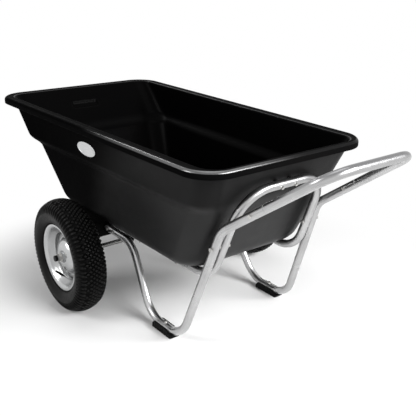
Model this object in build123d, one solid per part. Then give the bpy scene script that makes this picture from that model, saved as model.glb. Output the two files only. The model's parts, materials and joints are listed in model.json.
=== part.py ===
from build123d import *
import os
from math import cos, pi, sin, sqrt, tan

# Two-wheeled garden cart: a moulded tub on a bent tube frame, with two pneumatic wheels.
# Lengths in millimetres. X runs back towards the handle, Y to the right of the person
# pushing, Z up from the ground. Places along X are measured from the axle, and the whole
# cart is moved at the end so that the origin is under the middle of its box.

# Frame tube
TUBE_OD = 27.2
TUBE_WALL = 2.0
TUBE_GAP = 0.3
LEG_Y = 218.3
LEG_FRONT_X = -57.0
LEG_RUN_Z = 238.0
KNEE_X = 110.4
KNEE_BEND = 100.0
FOOT_FRONT_X = 254.0
FOOT_FRONT_BEND = 106.0
FOOT_BACK_X = 430.0
FOOT_BACK_BEND = 100.0
FOOT_Y = 235.0
HIP_X = 580.7
HIP_Z = 434.6
HIP_Y = 200.0
HIP_BEND = 94.0
HANDLE_X = 945.3
HANDLE_Z = 692.1
HANDLE_Y = 162.6
HANDLE_BEND = 82.0
HANDLE_JOINT = 200.0
SPIGOT_LENGTH = 80.0
SPIGOT_GAP = 0.15

# Cradle tube
RAIL_FRONT_X = -57.0
RAIL_Z = 250.0
RAIL_BACK_X = 512.0
RAIL_BACK_Y = 178.5
RAIL_BEND = 115.0
CROSS_Z = 555.0
CROSS_Y = 164.0
CROSS_BEND = 108.0
CROSS_STANDOFF = 8.0

# Tub: lip, upper band, step and lower walls
TUB_WALL = 6.0
TUB_SEAT_GAP = 0.3
LIP_Z = 647.0
LIP_FRONT_X = -679.0
LIP_BACK_X = 666.0
LIP_HALF_FRONT = 357.0
LIP_HALF_BACK = 332.0
LIP_CORNER = 100.0
LIP_WIDTH = 34.0
LIP_WIDTH_BACK = 16.0
LIP_SKIRT = 25.0
LIP_ROUND = 8.0
BACK_LEAN = 24.2
BAND_Z = 512.0
BAND_FRONT_X = -520.0
BAND_HALF_FRONT = 321.0
BAND_HALF_BACK = 279.0
BAND_CORNER = 72.0
STEP_HEIGHT = 20.0
STEP_WIDTH = 25.0
STEP_WIDTH_BACK = 14.0
STEP_FRONT = 42.0
FLOOR_FRONT_X = -352.0
FLOOR_HALF_FRONT = 250.0
FLOOR_HALF_BACK = 250.0
FLOOR_CORNER_FRONT = 70.0
FLOOR_CORNER_BACK = 130.0
FLOOR_ROUND = 40.0
BADGE_X = -22.0
BADGE_Z = 558.0
BADGE_LENGTH = 118.0
BADGE_HEIGHT = 48.0
BADGE_THICK = 1.5

# Feet
PAD_FRONT_X = 283.0
PAD_LENGTH = 109.0
PAD_WIDTH = 40.0
PAD_BASE = 5.0
PAD_HEIGHT = 23.0
PAD_TOE = 12.0
PAD_HEEL = 28.0
PAD_END = 7.0
PAD_GROOVES = 7
PAD_GROOVE = 4.0
PAD_GROOVE_DEPTH = 1.5
PAD_CORNER = 6.0

# Wheels
TYRE_R = 200.0
TYRE_WIDTH = 107.0
TYRE_SHOULDER_R = 187.0
TYRE_TREAD_WIDTH = 84.0
TYRE_SIDE_R = 150.0
TYRE_TREAD_THICK = 10.0
TYRE_SIDE_THICK = 6.0
NOTCHES = 39
NOTCH_WIDTH = 9.0
NOTCH_LENGTH = 32.0
NOTCH_DEPTH = 4.5
NOTCH_TURN = 27.0
BEAD_THICK = 11.0
RIM_SEAT_R = 101.6
RIM_FLANGE_R = 118.0
RIM_WIDTH = 79.4
RIM_WELL_R = 84.0
RIM_WELL_WIDTH = 26.0
RIM_THICK = 2.6
RIM_RAMP = 0.6
WHEEL_Y = 406.0
TUBE_SKIN = 2.0
INNER_TUBE_LIFT = 11.8
DISC_S = 4.0
DOME_R = 61.0
DOME_TOP_R = 27.0
DOME_RISE = 22.0
DOME_BULGE = 7.0
HUB_R = 20.5
HUB_HALF = 32.0
BEARING_R = 17.5
BEARING_WIDTH = 11.0
BEARING_SHOULDER = 2.0
RACE_THICK = 3.0
BALL_R = 2.6
BALLS = 8
BALL_GAP = 0.15
RUN_GAP = 0.05
VALVE_R = 4.6
VALVE_LENGTH = 36.0
VALVE_ANGLE = -110.0
VALVE_LEAN = 0.9
VALVE_RISE = 6.0
VALVE_OFFSET = 5.0
VALVE_TIP_R = 2.5
VALVE_TIP_LENGTH = 8.5
VALVE_CAP_R = 4.2
VALVE_CAP_LENGTH = 12.0
SEAT_GAP = 0.3

# Axle and what holds it
AXLE_D = 16.0
COLLAR_R = 15.0
COLLAR_WIDTH = 12.0
COLLAR_CHAMFER = 1.0
AXLE_WASHER_R = 17.0
AXLE_WASHER_THICK = 3.0
AXLE_NUT_AF = 24.0
AXLE_NUT_HEIGHT = 13.0
CAP_WALL = 2.5
CAP_TOP = 3.0
BRACKET_THICK = 6.0
BRACKET_BACK_X = 24.0
BRACKET_BOSS_R = 15.0
BRACKET_BOSS_LENGTH = 18.0
BRACKET_EDGE = 4.0
PIN_D = 5.0
BRACKET_FLANGE = 42.0

# Front cross beam, a folded channel
BEAM_HALF = 285.0
BEAM_BOTTOM_Z = 206.5
BEAM_DEPTH = 42.0
BEAM_THICK = 3.0
BEAM_BOLT_RISE = 14.0
BEAM_TUB_BOLT_Y = 120.0

# Fasteners
BOLT_D = 8.0
SMALL_BOLT_D = 6.0
HOLE_GAP = 0.25
THREAD_GAP = 0.05
HEX_ACROSS = 1.6
HEAD_HEIGHT = 0.62
NUT_HEIGHT = 0.8
THIN_NUT_HEIGHT = 0.4
BOLT_TIP = 1.5
WASHER_THICK = 1.6
FRONT_BOLT_XS = (-40.0, 0.0)
REAR_BOLT_ZS = (372.0,)
FLOOR_BOLT_XS = (120.0, 330.0)
CROSS_BOLT_Y = 28.0
FLOOR_WASHER_R = 14.0
FOOT_WASHER_R = 6.6
HANDLE_BOLT_BACK = 54.0
PLUG_LENGTH = 9.0
PLUG_FLANGE = 3.0

# How far a cutting tool starts before and ends beyond what it cuts
OVERCUT = 1.0

# Values that follow from the ones above
TUBE_R = TUBE_OD / 2
BORE_R = TUBE_R - TUBE_WALL
RAIL_FRONT_Y = LEG_Y - TUBE_OD - TUBE_GAP
FOOT_Z = PAD_BASE + TUBE_R + TUBE_GAP
AXLE_Z = TYRE_R
AXLE_R = AXLE_D / 2
FLOOR_Z = RAIL_Z + TUBE_R + TUB_SEAT_GAP
BACK_SLOPE = tan(BACK_LEAN * pi / 180)
STEP_Z = BAND_Z - STEP_HEIGHT
RAIL_RUN = sqrt((HANDLE_X - HIP_X) ** 2 + (HANDLE_Y - HIP_Y) ** 2 + (HANDLE_Z - HIP_Z) ** 2)
BEAM_FACE_X = LEG_FRONT_X - PLUG_FLANGE - TUBE_GAP
BACK_OF_CART = HANDLE_X + TUBE_R
SHIFT_X = -(LIP_FRONT_X + BACK_OF_CART) / 2
SIDES = {"left": -1, "right": 1}


def wall_back_x(z):
    """Outer face of the tub's leaning back wall at height z."""
    return LIP_BACK_X - LIP_WIDTH_BACK - (LIP_Z - z) * BACK_SLOPE


# The cross bar stands off the back wall by the length of its rubber spacers, square to the lean.
CROSS_X = wall_back_x(CROSS_Z) + (TUBE_R + CROSS_STANDOFF) / cos(BACK_LEAN * pi / 180)


def disc_at(point, direction, radius):
    return Plane(origin=point, z_dir=direction) * Circle(radius)


def rod(start, direction, radius, length):
    """Round bar from a point along a direction."""
    return extrude(disc_at(start, direction, radius), length)


def hexagon(start, direction, across_flats, height):
    """Hexagonal prism from a point along a direction."""
    flat = Plane(origin=start, z_dir=direction) * RegularPolygon(across_flats / sqrt(3), 6)
    return extrude(flat, height)


def along(point, direction, distance):
    length = sqrt(sum(d * d for d in direction))
    return tuple(p + d / length * distance for p, d in zip(point, direction))


def through(start, direction, radius, length):
    """Round cutter that passes both ends of a hole."""
    return rod(along(start, direction, -OVERCUT), direction, radius, length + 2 * OVERCUT)


def swept(path, radius):
    return sweep(disc_at(path @ 0, path % 0, radius), path=path)


def bent_tube(path):
    return swept(path, TUBE_R) - swept(path, BORE_R)


def hex_bolt(start, direction, diameter, length):
    """Bolt whose head sits outside the start point and whose shank runs along the direction."""
    back = tuple(-d for d in direction)
    head = hexagon(start, back, diameter * HEX_ACROSS, diameter * HEAD_HEIGHT)
    return rod(start, direction, diameter / 2, length) + head


def hex_nut(start, direction, diameter):
    height = diameter * NUT_HEIGHT
    nut = hexagon(start, direction, diameter * HEX_ACROSS, height)
    return nut - through(start, direction, diameter / 2 + THREAD_GAP, height)


def past_nut(diameter):
    """Length of a bolt beyond the face that its nut sits on."""
    return diameter * NUT_HEIGHT + BOLT_TIP


def washer(start, direction, diameter, radius, thick=WASHER_THICK):
    return rod(start, direction, radius, thick) - hole(start, direction, thick, diameter)


def hole(start, direction, length, diameter):
    """Clearance hole for a bolt, for cutting away."""
    return through(start, direction, diameter / 2 + HOLE_GAP, length)


# Tub

def outline(z, front, back, half_front, half_back, corner_front, corner_back):
    """Tapered rectangle at height z, with round corners."""
    points = [(front, -half_front), (back, -half_back), (back, half_back), (front, half_front)]
    flat = make_face(Polyline(*points, close=True))
    flat = fillet(flat.vertices().sort_by(Axis.X)[:2], corner_front)
    return Pos(0, 0, z) * fillet(flat.vertices().sort_by(Axis.X)[-2:], corner_back)


def tub_levels(inset):
    """Outlines of the tub's wall from floor to lip, drawn in by the inset."""
    lip_front = LIP_FRONT_X + LIP_WIDTH
    lip_corner = LIP_CORNER - LIP_WIDTH
    half_top = (LIP_HALF_FRONT - LIP_WIDTH, LIP_HALF_BACK - LIP_WIDTH)
    step_half = (BAND_HALF_FRONT - STEP_WIDTH, BAND_HALF_BACK - STEP_WIDTH_BACK)
    floor_corners = (FLOOR_CORNER_FRONT, FLOOR_CORNER_BACK)
    band_corners = (BAND_CORNER, BAND_CORNER)
    levels = [
        (FLOOR_Z, FLOOR_FRONT_X, FLOOR_HALF_FRONT, FLOOR_HALF_BACK, floor_corners),
        (STEP_Z, BAND_FRONT_X + STEP_FRONT, *step_half, band_corners),
        (BAND_Z, BAND_FRONT_X, BAND_HALF_FRONT, BAND_HALF_BACK, band_corners),
        (LIP_Z, lip_front, *half_top, (lip_corner, lip_corner)),
    ]
    drawn = []
    for z, front, half_front, half_back, corners in levels:
        sizes = [size - inset for size in (half_front, half_back, *corners)]
        drawn.append(outline(z, front + inset, wall_back_x(z) - inset, *sizes))
    return drawn


def lip_outline(inset):
    """Outer line of the lip at the foot of its skirt, drawn in by the inset."""
    halves = (LIP_HALF_FRONT - inset, LIP_HALF_BACK - inset)
    corner = LIP_CORNER - inset
    return outline(LIP_Z - LIP_SKIRT, LIP_FRONT_X + inset, LIP_BACK_X - inset, *halves, corner, corner)


def stack(levels):
    """Straight-sided solid through a pile of outlines."""
    lofts = [loft([low, high], ruled=True) for low, high in zip(levels, levels[1:])]
    solid = lofts[0]
    for piece in lofts[1:]:
        solid = solid + piece
    return solid


def round_floor(solid, radius):
    floor = solid.faces().sort_by(Axis.Z)[0]
    return fillet(floor.edges(), radius)


def tub():
    outside = round_floor(stack(tub_levels(0)), FLOOR_ROUND)
    inside = round_floor(Pos(0, 0, TUB_WALL) * stack(tub_levels(TUB_WALL)), FLOOR_ROUND - TUB_WALL)
    lip = extrude(lip_outline(0), LIP_SKIRT)
    lip = fillet(lip.faces().sort_by(Axis.Z)[-1].edges(), LIP_ROUND)
    lip = lip - extrude(lip_outline(TUB_WALL), LIP_SKIRT - TUB_WALL)
    body = outside + lip - inside
    for place in floor_bolt_places() + beam_tub_bolt_places() + cross_bolt_places():
        body = body - hole(*place, SMALL_BOLT_D)
    return body


def band_half(x, z):
    """Half width of the tub's upper band at a place on its side."""
    share = (z - BAND_Z) / (LIP_Z - BAND_Z)
    def half(front, back, half_front, half_back):
        return half_front + (half_back - half_front) * (x - front) / (back - front)
    low = half(BAND_FRONT_X, wall_back_x(BAND_Z), BAND_HALF_FRONT, BAND_HALF_BACK)
    top_halves = (LIP_HALF_FRONT - LIP_WIDTH, LIP_HALF_BACK - LIP_WIDTH)
    high = half(LIP_FRONT_X + LIP_WIDTH, wall_back_x(LIP_Z), *top_halves)
    return low + (high - low) * share


def badge_plate():
    centre = Vector(BADGE_X, -band_half(BADGE_X, BADGE_Z), BADGE_Z)
    ahead = Vector(BADGE_X + 10, -band_half(BADGE_X + 10, BADGE_Z), BADGE_Z) - centre
    above = Vector(BADGE_X, -band_half(BADGE_X, BADGE_Z + 10), BADGE_Z + 10) - centre
    outward = ahead.cross(above).normalized()
    plane = Plane(origin=centre + outward * SEAT_GAP, x_dir=ahead, z_dir=outward)
    plate = extrude(plane * Ellipse(BADGE_LENGTH / 2, BADGE_HEIGHT / 2), BADGE_THICK)
    return plate


# Bent tubes

def leg_path(side, stop):
    """Line of a leg tube, from its front end to a stop along the handle rail."""
    y = side * LEG_Y
    points = [
        (LEG_FRONT_X, y, LEG_RUN_Z),
        (KNEE_X, y, LEG_RUN_Z),
        (FOOT_FRONT_X, side * FOOT_Y, FOOT_Z),
        (FOOT_BACK_X, side * FOOT_Y, FOOT_Z),
        (HIP_X, side * HIP_Y, HIP_Z),
        rail_point(side, stop),
    ]
    return FilletPolyline(*points, radius=[KNEE_BEND, FOOT_FRONT_BEND, FOOT_BACK_BEND, HIP_BEND])


def rail_point(side, distance):
    """Point on a handle rail's line, measured from the hip bend."""
    share = distance / RAIL_RUN
    y = HIP_Y + share * (HANDLE_Y - HIP_Y)
    return (HIP_X + share * (HANDLE_X - HIP_X), side * y, HIP_Z + share * (HANDLE_Z - HIP_Z))


def leg_tube(side):
    tube = bent_tube(leg_path(side, HANDLE_JOINT))
    for place in front_bolt_places(side) + rear_bolt_places(side):
        tube = tube - hole(*place, BOLT_D)
    for place in handle_bolt_places(side) + foot_bolt_places(side):
        tube = tube - hole(*place, SMALL_BOLT_D)
    return tube


def handle_loop():
    """Bent grip whose ends step down to spigots inside the leg tubes."""
    start = HANDLE_JOINT + TUBE_GAP
    points = [
        rail_point(-1, start),
        (HANDLE_X, -HANDLE_Y, HANDLE_Z),
        (HANDLE_X, HANDLE_Y, HANDLE_Z),
        rail_point(1, start),
    ]
    loop = bent_tube(FilletPolyline(*points, radius=HANDLE_BEND))
    for side in SIDES.values():
        slope = (HANDLE_X - HIP_X, side * (HANDLE_Y - HIP_Y), HANDLE_Z - HIP_Z)
        inner_end = rail_point(side, HANDLE_JOINT - SPIGOT_LENGTH)
        spigot = rod(inner_end, slope, BORE_R - SPIGOT_GAP, SPIGOT_LENGTH + TUBE_OD)
        root = rod(rail_point(side, start), slope, BORE_R, TUBE_OD)
        bore = through(inner_end, slope, BORE_R - TUBE_WALL, SPIGOT_LENGTH + 2 * TUBE_OD)
        loop = loop + (spigot + root - bore)
        for place in handle_bolt_places(side):
            loop = loop - hole(*place, SMALL_BOLT_D)
    return loop


def rail_y(x):
    """Distance of a cradle rail's line from the middle: the rails close in towards the back."""
    share = (x - RAIL_FRONT_X) / (RAIL_BACK_X - RAIL_FRONT_X)
    return RAIL_FRONT_Y + share * (RAIL_BACK_Y - RAIL_FRONT_Y)


def cradle_tube():
    half = [
        (RAIL_FRONT_X, RAIL_FRONT_Y, RAIL_Z),
        (RAIL_BACK_X, RAIL_BACK_Y, RAIL_Z),
        (CROSS_X, CROSS_Y, CROSS_Z),
    ]
    points = [(x, -y, z) for x, y, z in half] + half[::-1]
    tube = bent_tube(FilletPolyline(*points, radius=[RAIL_BEND, CROSS_BEND, CROSS_BEND, RAIL_BEND]))
    for side in SIDES.values():
        for place in front_bolt_places(side) + rear_bolt_places(side):
            tube = tube - hole(*place, BOLT_D)
    for place in floor_bolt_places() + cross_bolt_places():
        tube = tube - hole(*place, SMALL_BOLT_D)
    return tube


def tube_end_plugs():
    """Plastic plugs in the four open tube ends at the front."""
    plugs = []
    taper = (RAIL_BACK_Y - RAIL_FRONT_Y) / (RAIL_BACK_X - RAIL_FRONT_X)
    for side in SIDES.values():
        leg_end = (LEG_FRONT_X, side * LEG_Y, LEG_RUN_Z)
        rail_end = (RAIL_FRONT_X, side * RAIL_FRONT_Y, RAIL_Z)
        for place, sideways in ((leg_end, 0), (rail_end, side * taper)):
            stem = rod(place, (1, sideways, 0), BORE_R - SPIGOT_GAP, PLUG_LENGTH)
            flange = rod(place, (-1, -sideways, 0), TUBE_R, PLUG_FLANGE)
            plugs.append(stem + fillet(flange.faces().sort_by(Axis.X)[0].edges(), PLUG_FLANGE / 2))
    return Compound(children=plugs)


# Bolt places: start point, direction and length of each hole

def front_bolt_places(side):
    """Cross bolts through leg tube, cradle rail and axle bracket above the axle."""
    z = (LEG_RUN_Z + RAIL_Z) / 2
    start = LEG_Y + TUBE_R
    length = start - bracket_inner_y() + SEAT_GAP
    return [((x, side * start, z), (0, -side, 0), length) for x in FRONT_BOLT_XS]


def upright_at(z):
    """Place of the cradle's upright at height z."""
    share = (z - RAIL_Z) / (CROSS_Z - RAIL_Z)
    return RAIL_BACK_X + share * (CROSS_X - RAIL_BACK_X), RAIL_BACK_Y + share * (CROSS_Y - RAIL_BACK_Y)


def rear_leg_at(z):
    """Place of the rear leg at height z."""
    share = (z - FOOT_Z) / (HIP_Z - FOOT_Z)
    return FOOT_BACK_X + share * (HIP_X - FOOT_BACK_X), FOOT_Y + share * (HIP_Y - FOOT_Y)


def rear_bolt_places(side):
    """Cross bolts through the rear leg and the cradle's upright."""
    places = []
    for z in REAR_BOLT_ZS:
        (cradle_x, cradle_y), (leg_x, leg_y) = upright_at(z), rear_leg_at(z)
        start = ((cradle_x + leg_x) / 2, side * (leg_y + TUBE_R + TUBE_GAP), z)
        places.append((start, (0, -side, 0), leg_y - cradle_y + TUBE_OD + 2 * TUBE_GAP))
    return places


def handle_bolt_places(side):
    """Cross bolts through the handle spigots, square to the converging rails."""
    centre = rail_point(side, HANDLE_JOINT - HANDLE_BOLT_BACK)
    direction = (HANDLE_Y - HIP_Y, -side * (HANDLE_X - HIP_X), 0)
    return [(along(centre, direction, -TUBE_R), direction, TUBE_OD)]


def foot_bolt_places(side):
    x = PAD_FRONT_X + PAD_LENGTH / 2
    return [((x, side * FOOT_Y, FOOT_Z + TUBE_R), (0, 0, -1), TUBE_R + FOOT_Z - foot_nut_z())]


def floor_bolt_places():
    """Upright bolts through the tub floor and the cradle rails."""
    z = FLOOR_Z + TUB_WALL
    length = TUB_WALL + TUB_SEAT_GAP + TUBE_OD
    return [((x, side * rail_y(x), z), (0, 0, -1), length) for side in SIDES.values() for x in FLOOR_BOLT_XS]


def beam_tub_bolt_places():
    """Upright bolts through the tub floor and the front beam's top flange."""
    x = BEAM_FACE_X - BEAM_DEPTH / 2
    length = TUB_WALL + TUB_SEAT_GAP + BEAM_THICK
    return [((x, side * BEAM_TUB_BOLT_Y, FLOOR_Z + TUB_WALL), (0, 0, -1), length) for side in SIDES.values()]


def cross_bolt_places():
    """Bolts through the cross bar, square to the tub's back wall."""
    lean = BACK_LEAN * pi / 180
    direction = (-cos(lean), 0, sin(lean))
    length = TUBE_OD + CROSS_STANDOFF + TUB_WALL * (cos(lean) + sin(lean))
    centres = [(CROSS_X, y, CROSS_Z) for y in (-CROSS_BOLT_Y, CROSS_BOLT_Y)]
    return [(along(point, direction, -TUBE_R), direction, length) for point in centres]


def cross_bolt_sets():
    bolts = []
    nuts = []
    spacers = []
    for start, direction, length in cross_bolt_places():
        bolts.append(hex_bolt(start, direction, SMALL_BOLT_D, length + SEAT_GAP + past_nut(SMALL_BOLT_D)))
        nuts.append(hex_nut(along(start, direction, length + SEAT_GAP), direction, SMALL_BOLT_D))
        spacer_start = along(start, direction, TUBE_OD)
        spacers.append(washer(spacer_start, direction, SMALL_BOLT_D, SMALL_BOLT_D, CROSS_STANDOFF))
    return Compound(children=bolts), Compound(children=nuts), Compound(children=spacers)


def floor_bolt_sets():
    bolts = []
    washers = []
    nuts = []
    for start, direction, length in floor_bolt_places() + beam_tub_bolt_places():
        top = along(start, direction, -WASHER_THICK)
        bolts.append(hex_bolt(top, direction, SMALL_BOLT_D, WASHER_THICK + length + past_nut(SMALL_BOLT_D)))
        washers.append(washer(top, direction, SMALL_BOLT_D, FLOOR_WASHER_R))
        nuts.append(hex_nut(along(start, direction, length), direction, SMALL_BOLT_D))
    return Compound(children=bolts), Compound(children=washers), Compound(children=nuts)


def cross_set(places_of, diameter):
    """Bolts and nuts for holes that run across the frame on both sides."""
    bolts = []
    nuts = []
    for side in SIDES.values():
        for start, direction, length in places_of(side):
            bolts.append(hex_bolt(start, direction, diameter, length + past_nut(diameter)))
            nuts.append(hex_nut(along(start, direction, length), direction, diameter))
    return Compound(children=bolts), Compound(children=nuts)


# Feet

def foot_pad(side):
    """Ribbed cradle under a foot, low at its back end."""
    back = PAD_FRONT_X + PAD_LENGTH
    profile = [
        (PAD_FRONT_X, 0),
        (back, 0),
        (back, PAD_END),
        (back - PAD_HEEL, PAD_HEIGHT),
        (PAD_FRONT_X + PAD_TOE, PAD_HEIGHT),
        (PAD_FRONT_X, PAD_END),
    ]
    flat = make_face(Polyline(*profile, close=True))
    outer = Plane(origin=(0, side * FOOT_Y + PAD_WIDTH / 2, 0), x_dir=(1, 0, 0), z_dir=(0, -1, 0)) * flat
    pad = extrude(outer, PAD_WIDTH)
    pad = fillet(pad.edges().filter_by(Axis.Z), PAD_CORNER)
    pitch = PAD_LENGTH / (PAD_GROOVES + 1)
    groove = Box(PAD_GROOVE, 2 * PAD_GROOVE_DEPTH, 2 * PAD_HEIGHT)
    for index in range(PAD_GROOVES):
        for edge in (-1, 1):
            x = PAD_FRONT_X + pitch * (index + 1)
            pad = pad - Pos(x, side * FOOT_Y + edge * PAD_WIDTH / 2, 0) * groove
    pad = pad - swept(leg_path(side, HANDLE_JOINT), TUBE_R + TUBE_GAP)
    for start, direction, length in foot_bolt_places(side):
        pad = pad - hole(start, direction, length + PAD_BASE, SMALL_BOLT_D)
        across = SMALL_BOLT_D * HEX_ACROSS + 2 * SEAT_GAP
        pocket = hexagon((start[0], start[1], -OVERCUT), (0, 0, 1), across, OVERCUT + foot_nut_top())
        pad = pad - pocket
    return pad


def foot_nut_z():
    """Underside of the nut that hides in the pad."""
    return PAD_BASE / 4


def foot_nut_top():
    return foot_nut_z() + SMALL_BOLT_D * THIN_NUT_HEIGHT


def foot_bolt_sets():
    bolts = []
    washers = []
    nuts = []
    for side in SIDES.values():
        for start, direction, length in foot_bolt_places(side):
            seat = along(start, direction, -WASHER_THICK)
            bolts.append(hex_bolt(seat, direction, SMALL_BOLT_D, WASHER_THICK + length))
            washers.append(washer(seat, direction, SMALL_BOLT_D, FOOT_WASHER_R))
            nut_start = (start[0], start[1], foot_nut_z())
            thin = SMALL_BOLT_D * THIN_NUT_HEIGHT
            nut = hexagon(nut_start, (0, 0, 1), SMALL_BOLT_D * HEX_ACROSS, thin)
            nuts.append(nut - through(nut_start, (0, 0, 1), SMALL_BOLT_D / 2 + THREAD_GAP, thin))
    return Compound(children=bolts), Compound(children=washers), Compound(children=nuts)


# Axle

def hub_end():
    return WHEEL_Y + HUB_HALF


def bracket_outer_y():
    return rail_y(BRACKET_BACK_X) - TUBE_R - TUBE_GAP


def bracket_inner_y():
    return bracket_outer_y() - BRACKET_THICK


def axle_tip_y():
    return hub_end() + SEAT_GAP + AXLE_WASHER_THICK + AXLE_NUT_HEIGHT + CAP_TOP


def axle():
    tip = axle_tip_y()
    bar = rod((0, -tip, AXLE_Z), (0, 1, 0), AXLE_R, 2 * tip)
    for side in SIDES.values():
        bar = bar - hole(*axle_pin_place(side), PIN_D)
    return bar


def axle_pin_place(side):
    y = side * (bracket_inner_y() - BRACKET_BOSS_LENGTH / 2)
    return (0, y, AXLE_Z + BRACKET_BOSS_R), (0, 0, -1), 2 * BRACKET_BOSS_R


def axle_bracket(side):
    """Plate bolted inside the rail, with a flange on the front beam and a boss round the axle."""
    top = RAIL_Z + TUBE_R
    front = BEAM_FACE_X + TUBE_GAP
    bottom = AXLE_Z - BRACKET_BOSS_R - BRACKET_EDGE
    points = [
        (front, top),
        (BRACKET_BACK_X, top),
        (BRACKET_BACK_X, AXLE_Z),
        (BRACKET_BOSS_R, bottom),
        (-BRACKET_BOSS_R, bottom),
        (front, BEAM_BOTTOM_Z),
    ]
    flat = make_face(Polyline(*points, close=True))
    plate = Plane(origin=(0, side * bracket_inner_y(), 0), x_dir=(1, 0, 0), z_dir=(0, -1, 0)) * flat
    plate = extrude(plate, BRACKET_THICK, dir=(0, side, 0))
    height = top - BEAM_BOTTOM_Z
    flange = Box(BRACKET_THICK, BRACKET_FLANGE, height)
    middle_y = side * (bracket_outer_y() - BRACKET_FLANGE / 2)
    plate = plate + Pos(front + BRACKET_THICK / 2, middle_y, BEAM_BOTTOM_Z + height / 2) * flange
    boss_start = (0, side * bracket_inner_y(), AXLE_Z)
    plate = plate + rod(boss_start, (0, -side, 0), BRACKET_BOSS_R, BRACKET_BOSS_LENGTH)
    bore_start = (0, side * bracket_outer_y(), AXLE_Z)
    reach = BRACKET_THICK + BRACKET_BOSS_LENGTH
    plate = plate - through(bore_start, (0, -side, 0), AXLE_R + RUN_GAP, reach)
    for place in front_bolt_places(side) + beam_bolt_places(side):
        plate = plate - hole(*place, BOLT_D)
    return plate - hole(*axle_pin_place(side), PIN_D)


def beam_bolt_places(side):
    """Bolts through a bracket's flange and the front beam."""
    y = side * (bracket_inner_y() - (BRACKET_FLANGE - BRACKET_THICK) / 2)
    middle = (BEAM_BOTTOM_Z + RAIL_Z + TUBE_R) / 2
    x = BEAM_FACE_X + TUBE_GAP + BRACKET_THICK
    length = BRACKET_THICK + TUBE_GAP + BEAM_THICK
    return [((x, y, middle + rise), (-1, 0, 0), length) for rise in (-BEAM_BOLT_RISE, BEAM_BOLT_RISE)]


def front_beam():
    """Folded channel across the front ends of the tubes, open to the front, that carries the tub."""
    top = FLOOR_Z - TUB_SEAT_GAP
    height = top - BEAM_BOTTOM_Z
    outer = Box(BEAM_DEPTH, 2 * BEAM_HALF, height)
    core = Pos(-BEAM_THICK, 0, 0) * Box(BEAM_DEPTH, 3 * BEAM_HALF, height - 2 * BEAM_THICK)
    beam = Pos(BEAM_FACE_X - BEAM_DEPTH / 2, 0, BEAM_BOTTOM_Z + height / 2) * (outer - core)
    for place in beam_bolt_places(-1) + beam_bolt_places(1):
        beam = beam - hole(*place, BOLT_D)
    for place in beam_tub_bolt_places():
        beam = beam - hole(*place, SMALL_BOLT_D)
    return beam


def axle_pins():
    pins = []
    for side in SIDES.values():
        start, direction, length = axle_pin_place(side)
        pins.append(rod(start, direction, PIN_D / 2, length))
    return Compound(children=pins)


def on_axle(make):
    """The same piece at both ends of the axle, facing outwards."""
    return Compound(children=[make(side) for side in SIDES.values()])


def axle_collar(side):
    start = (0, side * (WHEEL_Y - HUB_HALF - SEAT_GAP - AXLE_WASHER_THICK), AXLE_Z)
    ring = rod(start, (0, -side, 0), COLLAR_R, COLLAR_WIDTH)
    ring = ring - through(start, (0, -side, 0), AXLE_R + RUN_GAP, COLLAR_WIDTH)
    return chamfer(ring.edges().filter_by(GeomType.CIRCLE).sort_by(SortBy.RADIUS)[-2:], COLLAR_CHAMFER)


def inner_washer(side):
    start = (0, side * (WHEEL_Y - HUB_HALF - SEAT_GAP), AXLE_Z)
    return washer(start, (0, -side, 0), AXLE_D, AXLE_WASHER_R, AXLE_WASHER_THICK)


def outer_washer(side):
    start = (0, side * (hub_end() + SEAT_GAP), AXLE_Z)
    return washer(start, (0, side, 0), AXLE_D, AXLE_WASHER_R, AXLE_WASHER_THICK)


def axle_nut(side):
    start = (0, side * (hub_end() + SEAT_GAP + AXLE_WASHER_THICK), AXLE_Z)
    nut = hexagon(start, (0, side, 0), AXLE_NUT_AF, AXLE_NUT_HEIGHT - CAP_TOP)
    return nut - through(start, (0, side, 0), AXLE_R + RUN_GAP, AXLE_NUT_HEIGHT)


def axle_end_cap(side):
    """Push-on cap over the tip of the axle."""
    skirt = 2 * CAP_TOP
    tip = axle_tip_y()
    start = (0, side * (tip - skirt), AXLE_Z)
    cap = rod(start, (0, side, 0), AXLE_R + CAP_WALL, skirt + CAP_TOP)
    cap = fillet(cap.edges().sort_by(Axis.Y)[-1 if side > 0 else 0], CAP_TOP / 2)
    return cap - rod(along(start, (0, side, 0), -OVERCUT), (0, side, 0), AXLE_R + RUN_GAP, skirt + OVERCUT)


# Wheels: each ring is a section in distance from the wheel's middle and from the axle

def turned(section, side):
    """Ring made by turning a flat section about the axle of one wheel."""
    plane = Plane(origin=(0, side * WHEEL_Y, AXLE_Z), x_dir=(0, side, 0), z_dir=(1, 0, 0))
    placed = plane * section
    return revolve(placed, Axis((0, side * WHEEL_Y, AXLE_Z), (0, 1, 0)))


def up(side):
    """Sign of the section plane's second direction for a wheel."""
    return 1 if side > 0 else -1


def ring_section(side, points):
    """Closed section from straight runs, given as distance from the middle and radius."""
    return make_face(Polyline(*[(s, up(side) * r) for s, r in points], close=True))


def tyre_section(side, inset_side, inset_tread):
    """Tyre profile: two sidewall arcs and a crown arc, drawn in by the given thicknesses."""
    k = up(side)
    foot = RIM_WIDTH / 2 - RIM_THICK - SEAT_GAP - inset_side * BEAD_THICK / TYRE_SIDE_THICK
    heel = RIM_SEAT_R + SEAT_GAP
    wide = TYRE_WIDTH / 2 - inset_side
    tread = TYRE_TREAD_WIDTH / 2 - inset_side
    shoulder = TYRE_SHOULDER_R - inset_tread
    crown = TYRE_R - inset_tread
    top_of_bead = RIM_FLANGE_R + SEAT_GAP
    right_wall = ThreePointArc((foot, k * top_of_bead), (wide, k * TYRE_SIDE_R), (tread, k * shoulder))
    roof = ThreePointArc((tread, k * shoulder), (0, k * crown), (-tread, k * shoulder))
    left_wall = ThreePointArc((-tread, k * shoulder), (-wide, k * TYRE_SIDE_R), (-foot, k * top_of_bead))
    bottom = Polyline((-foot, k * top_of_bead), (-foot, k * heel), (foot, k * heel), (foot, k * top_of_bead))
    return make_face(Curve() + [right_wall, roof, left_wall, bottom])


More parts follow.
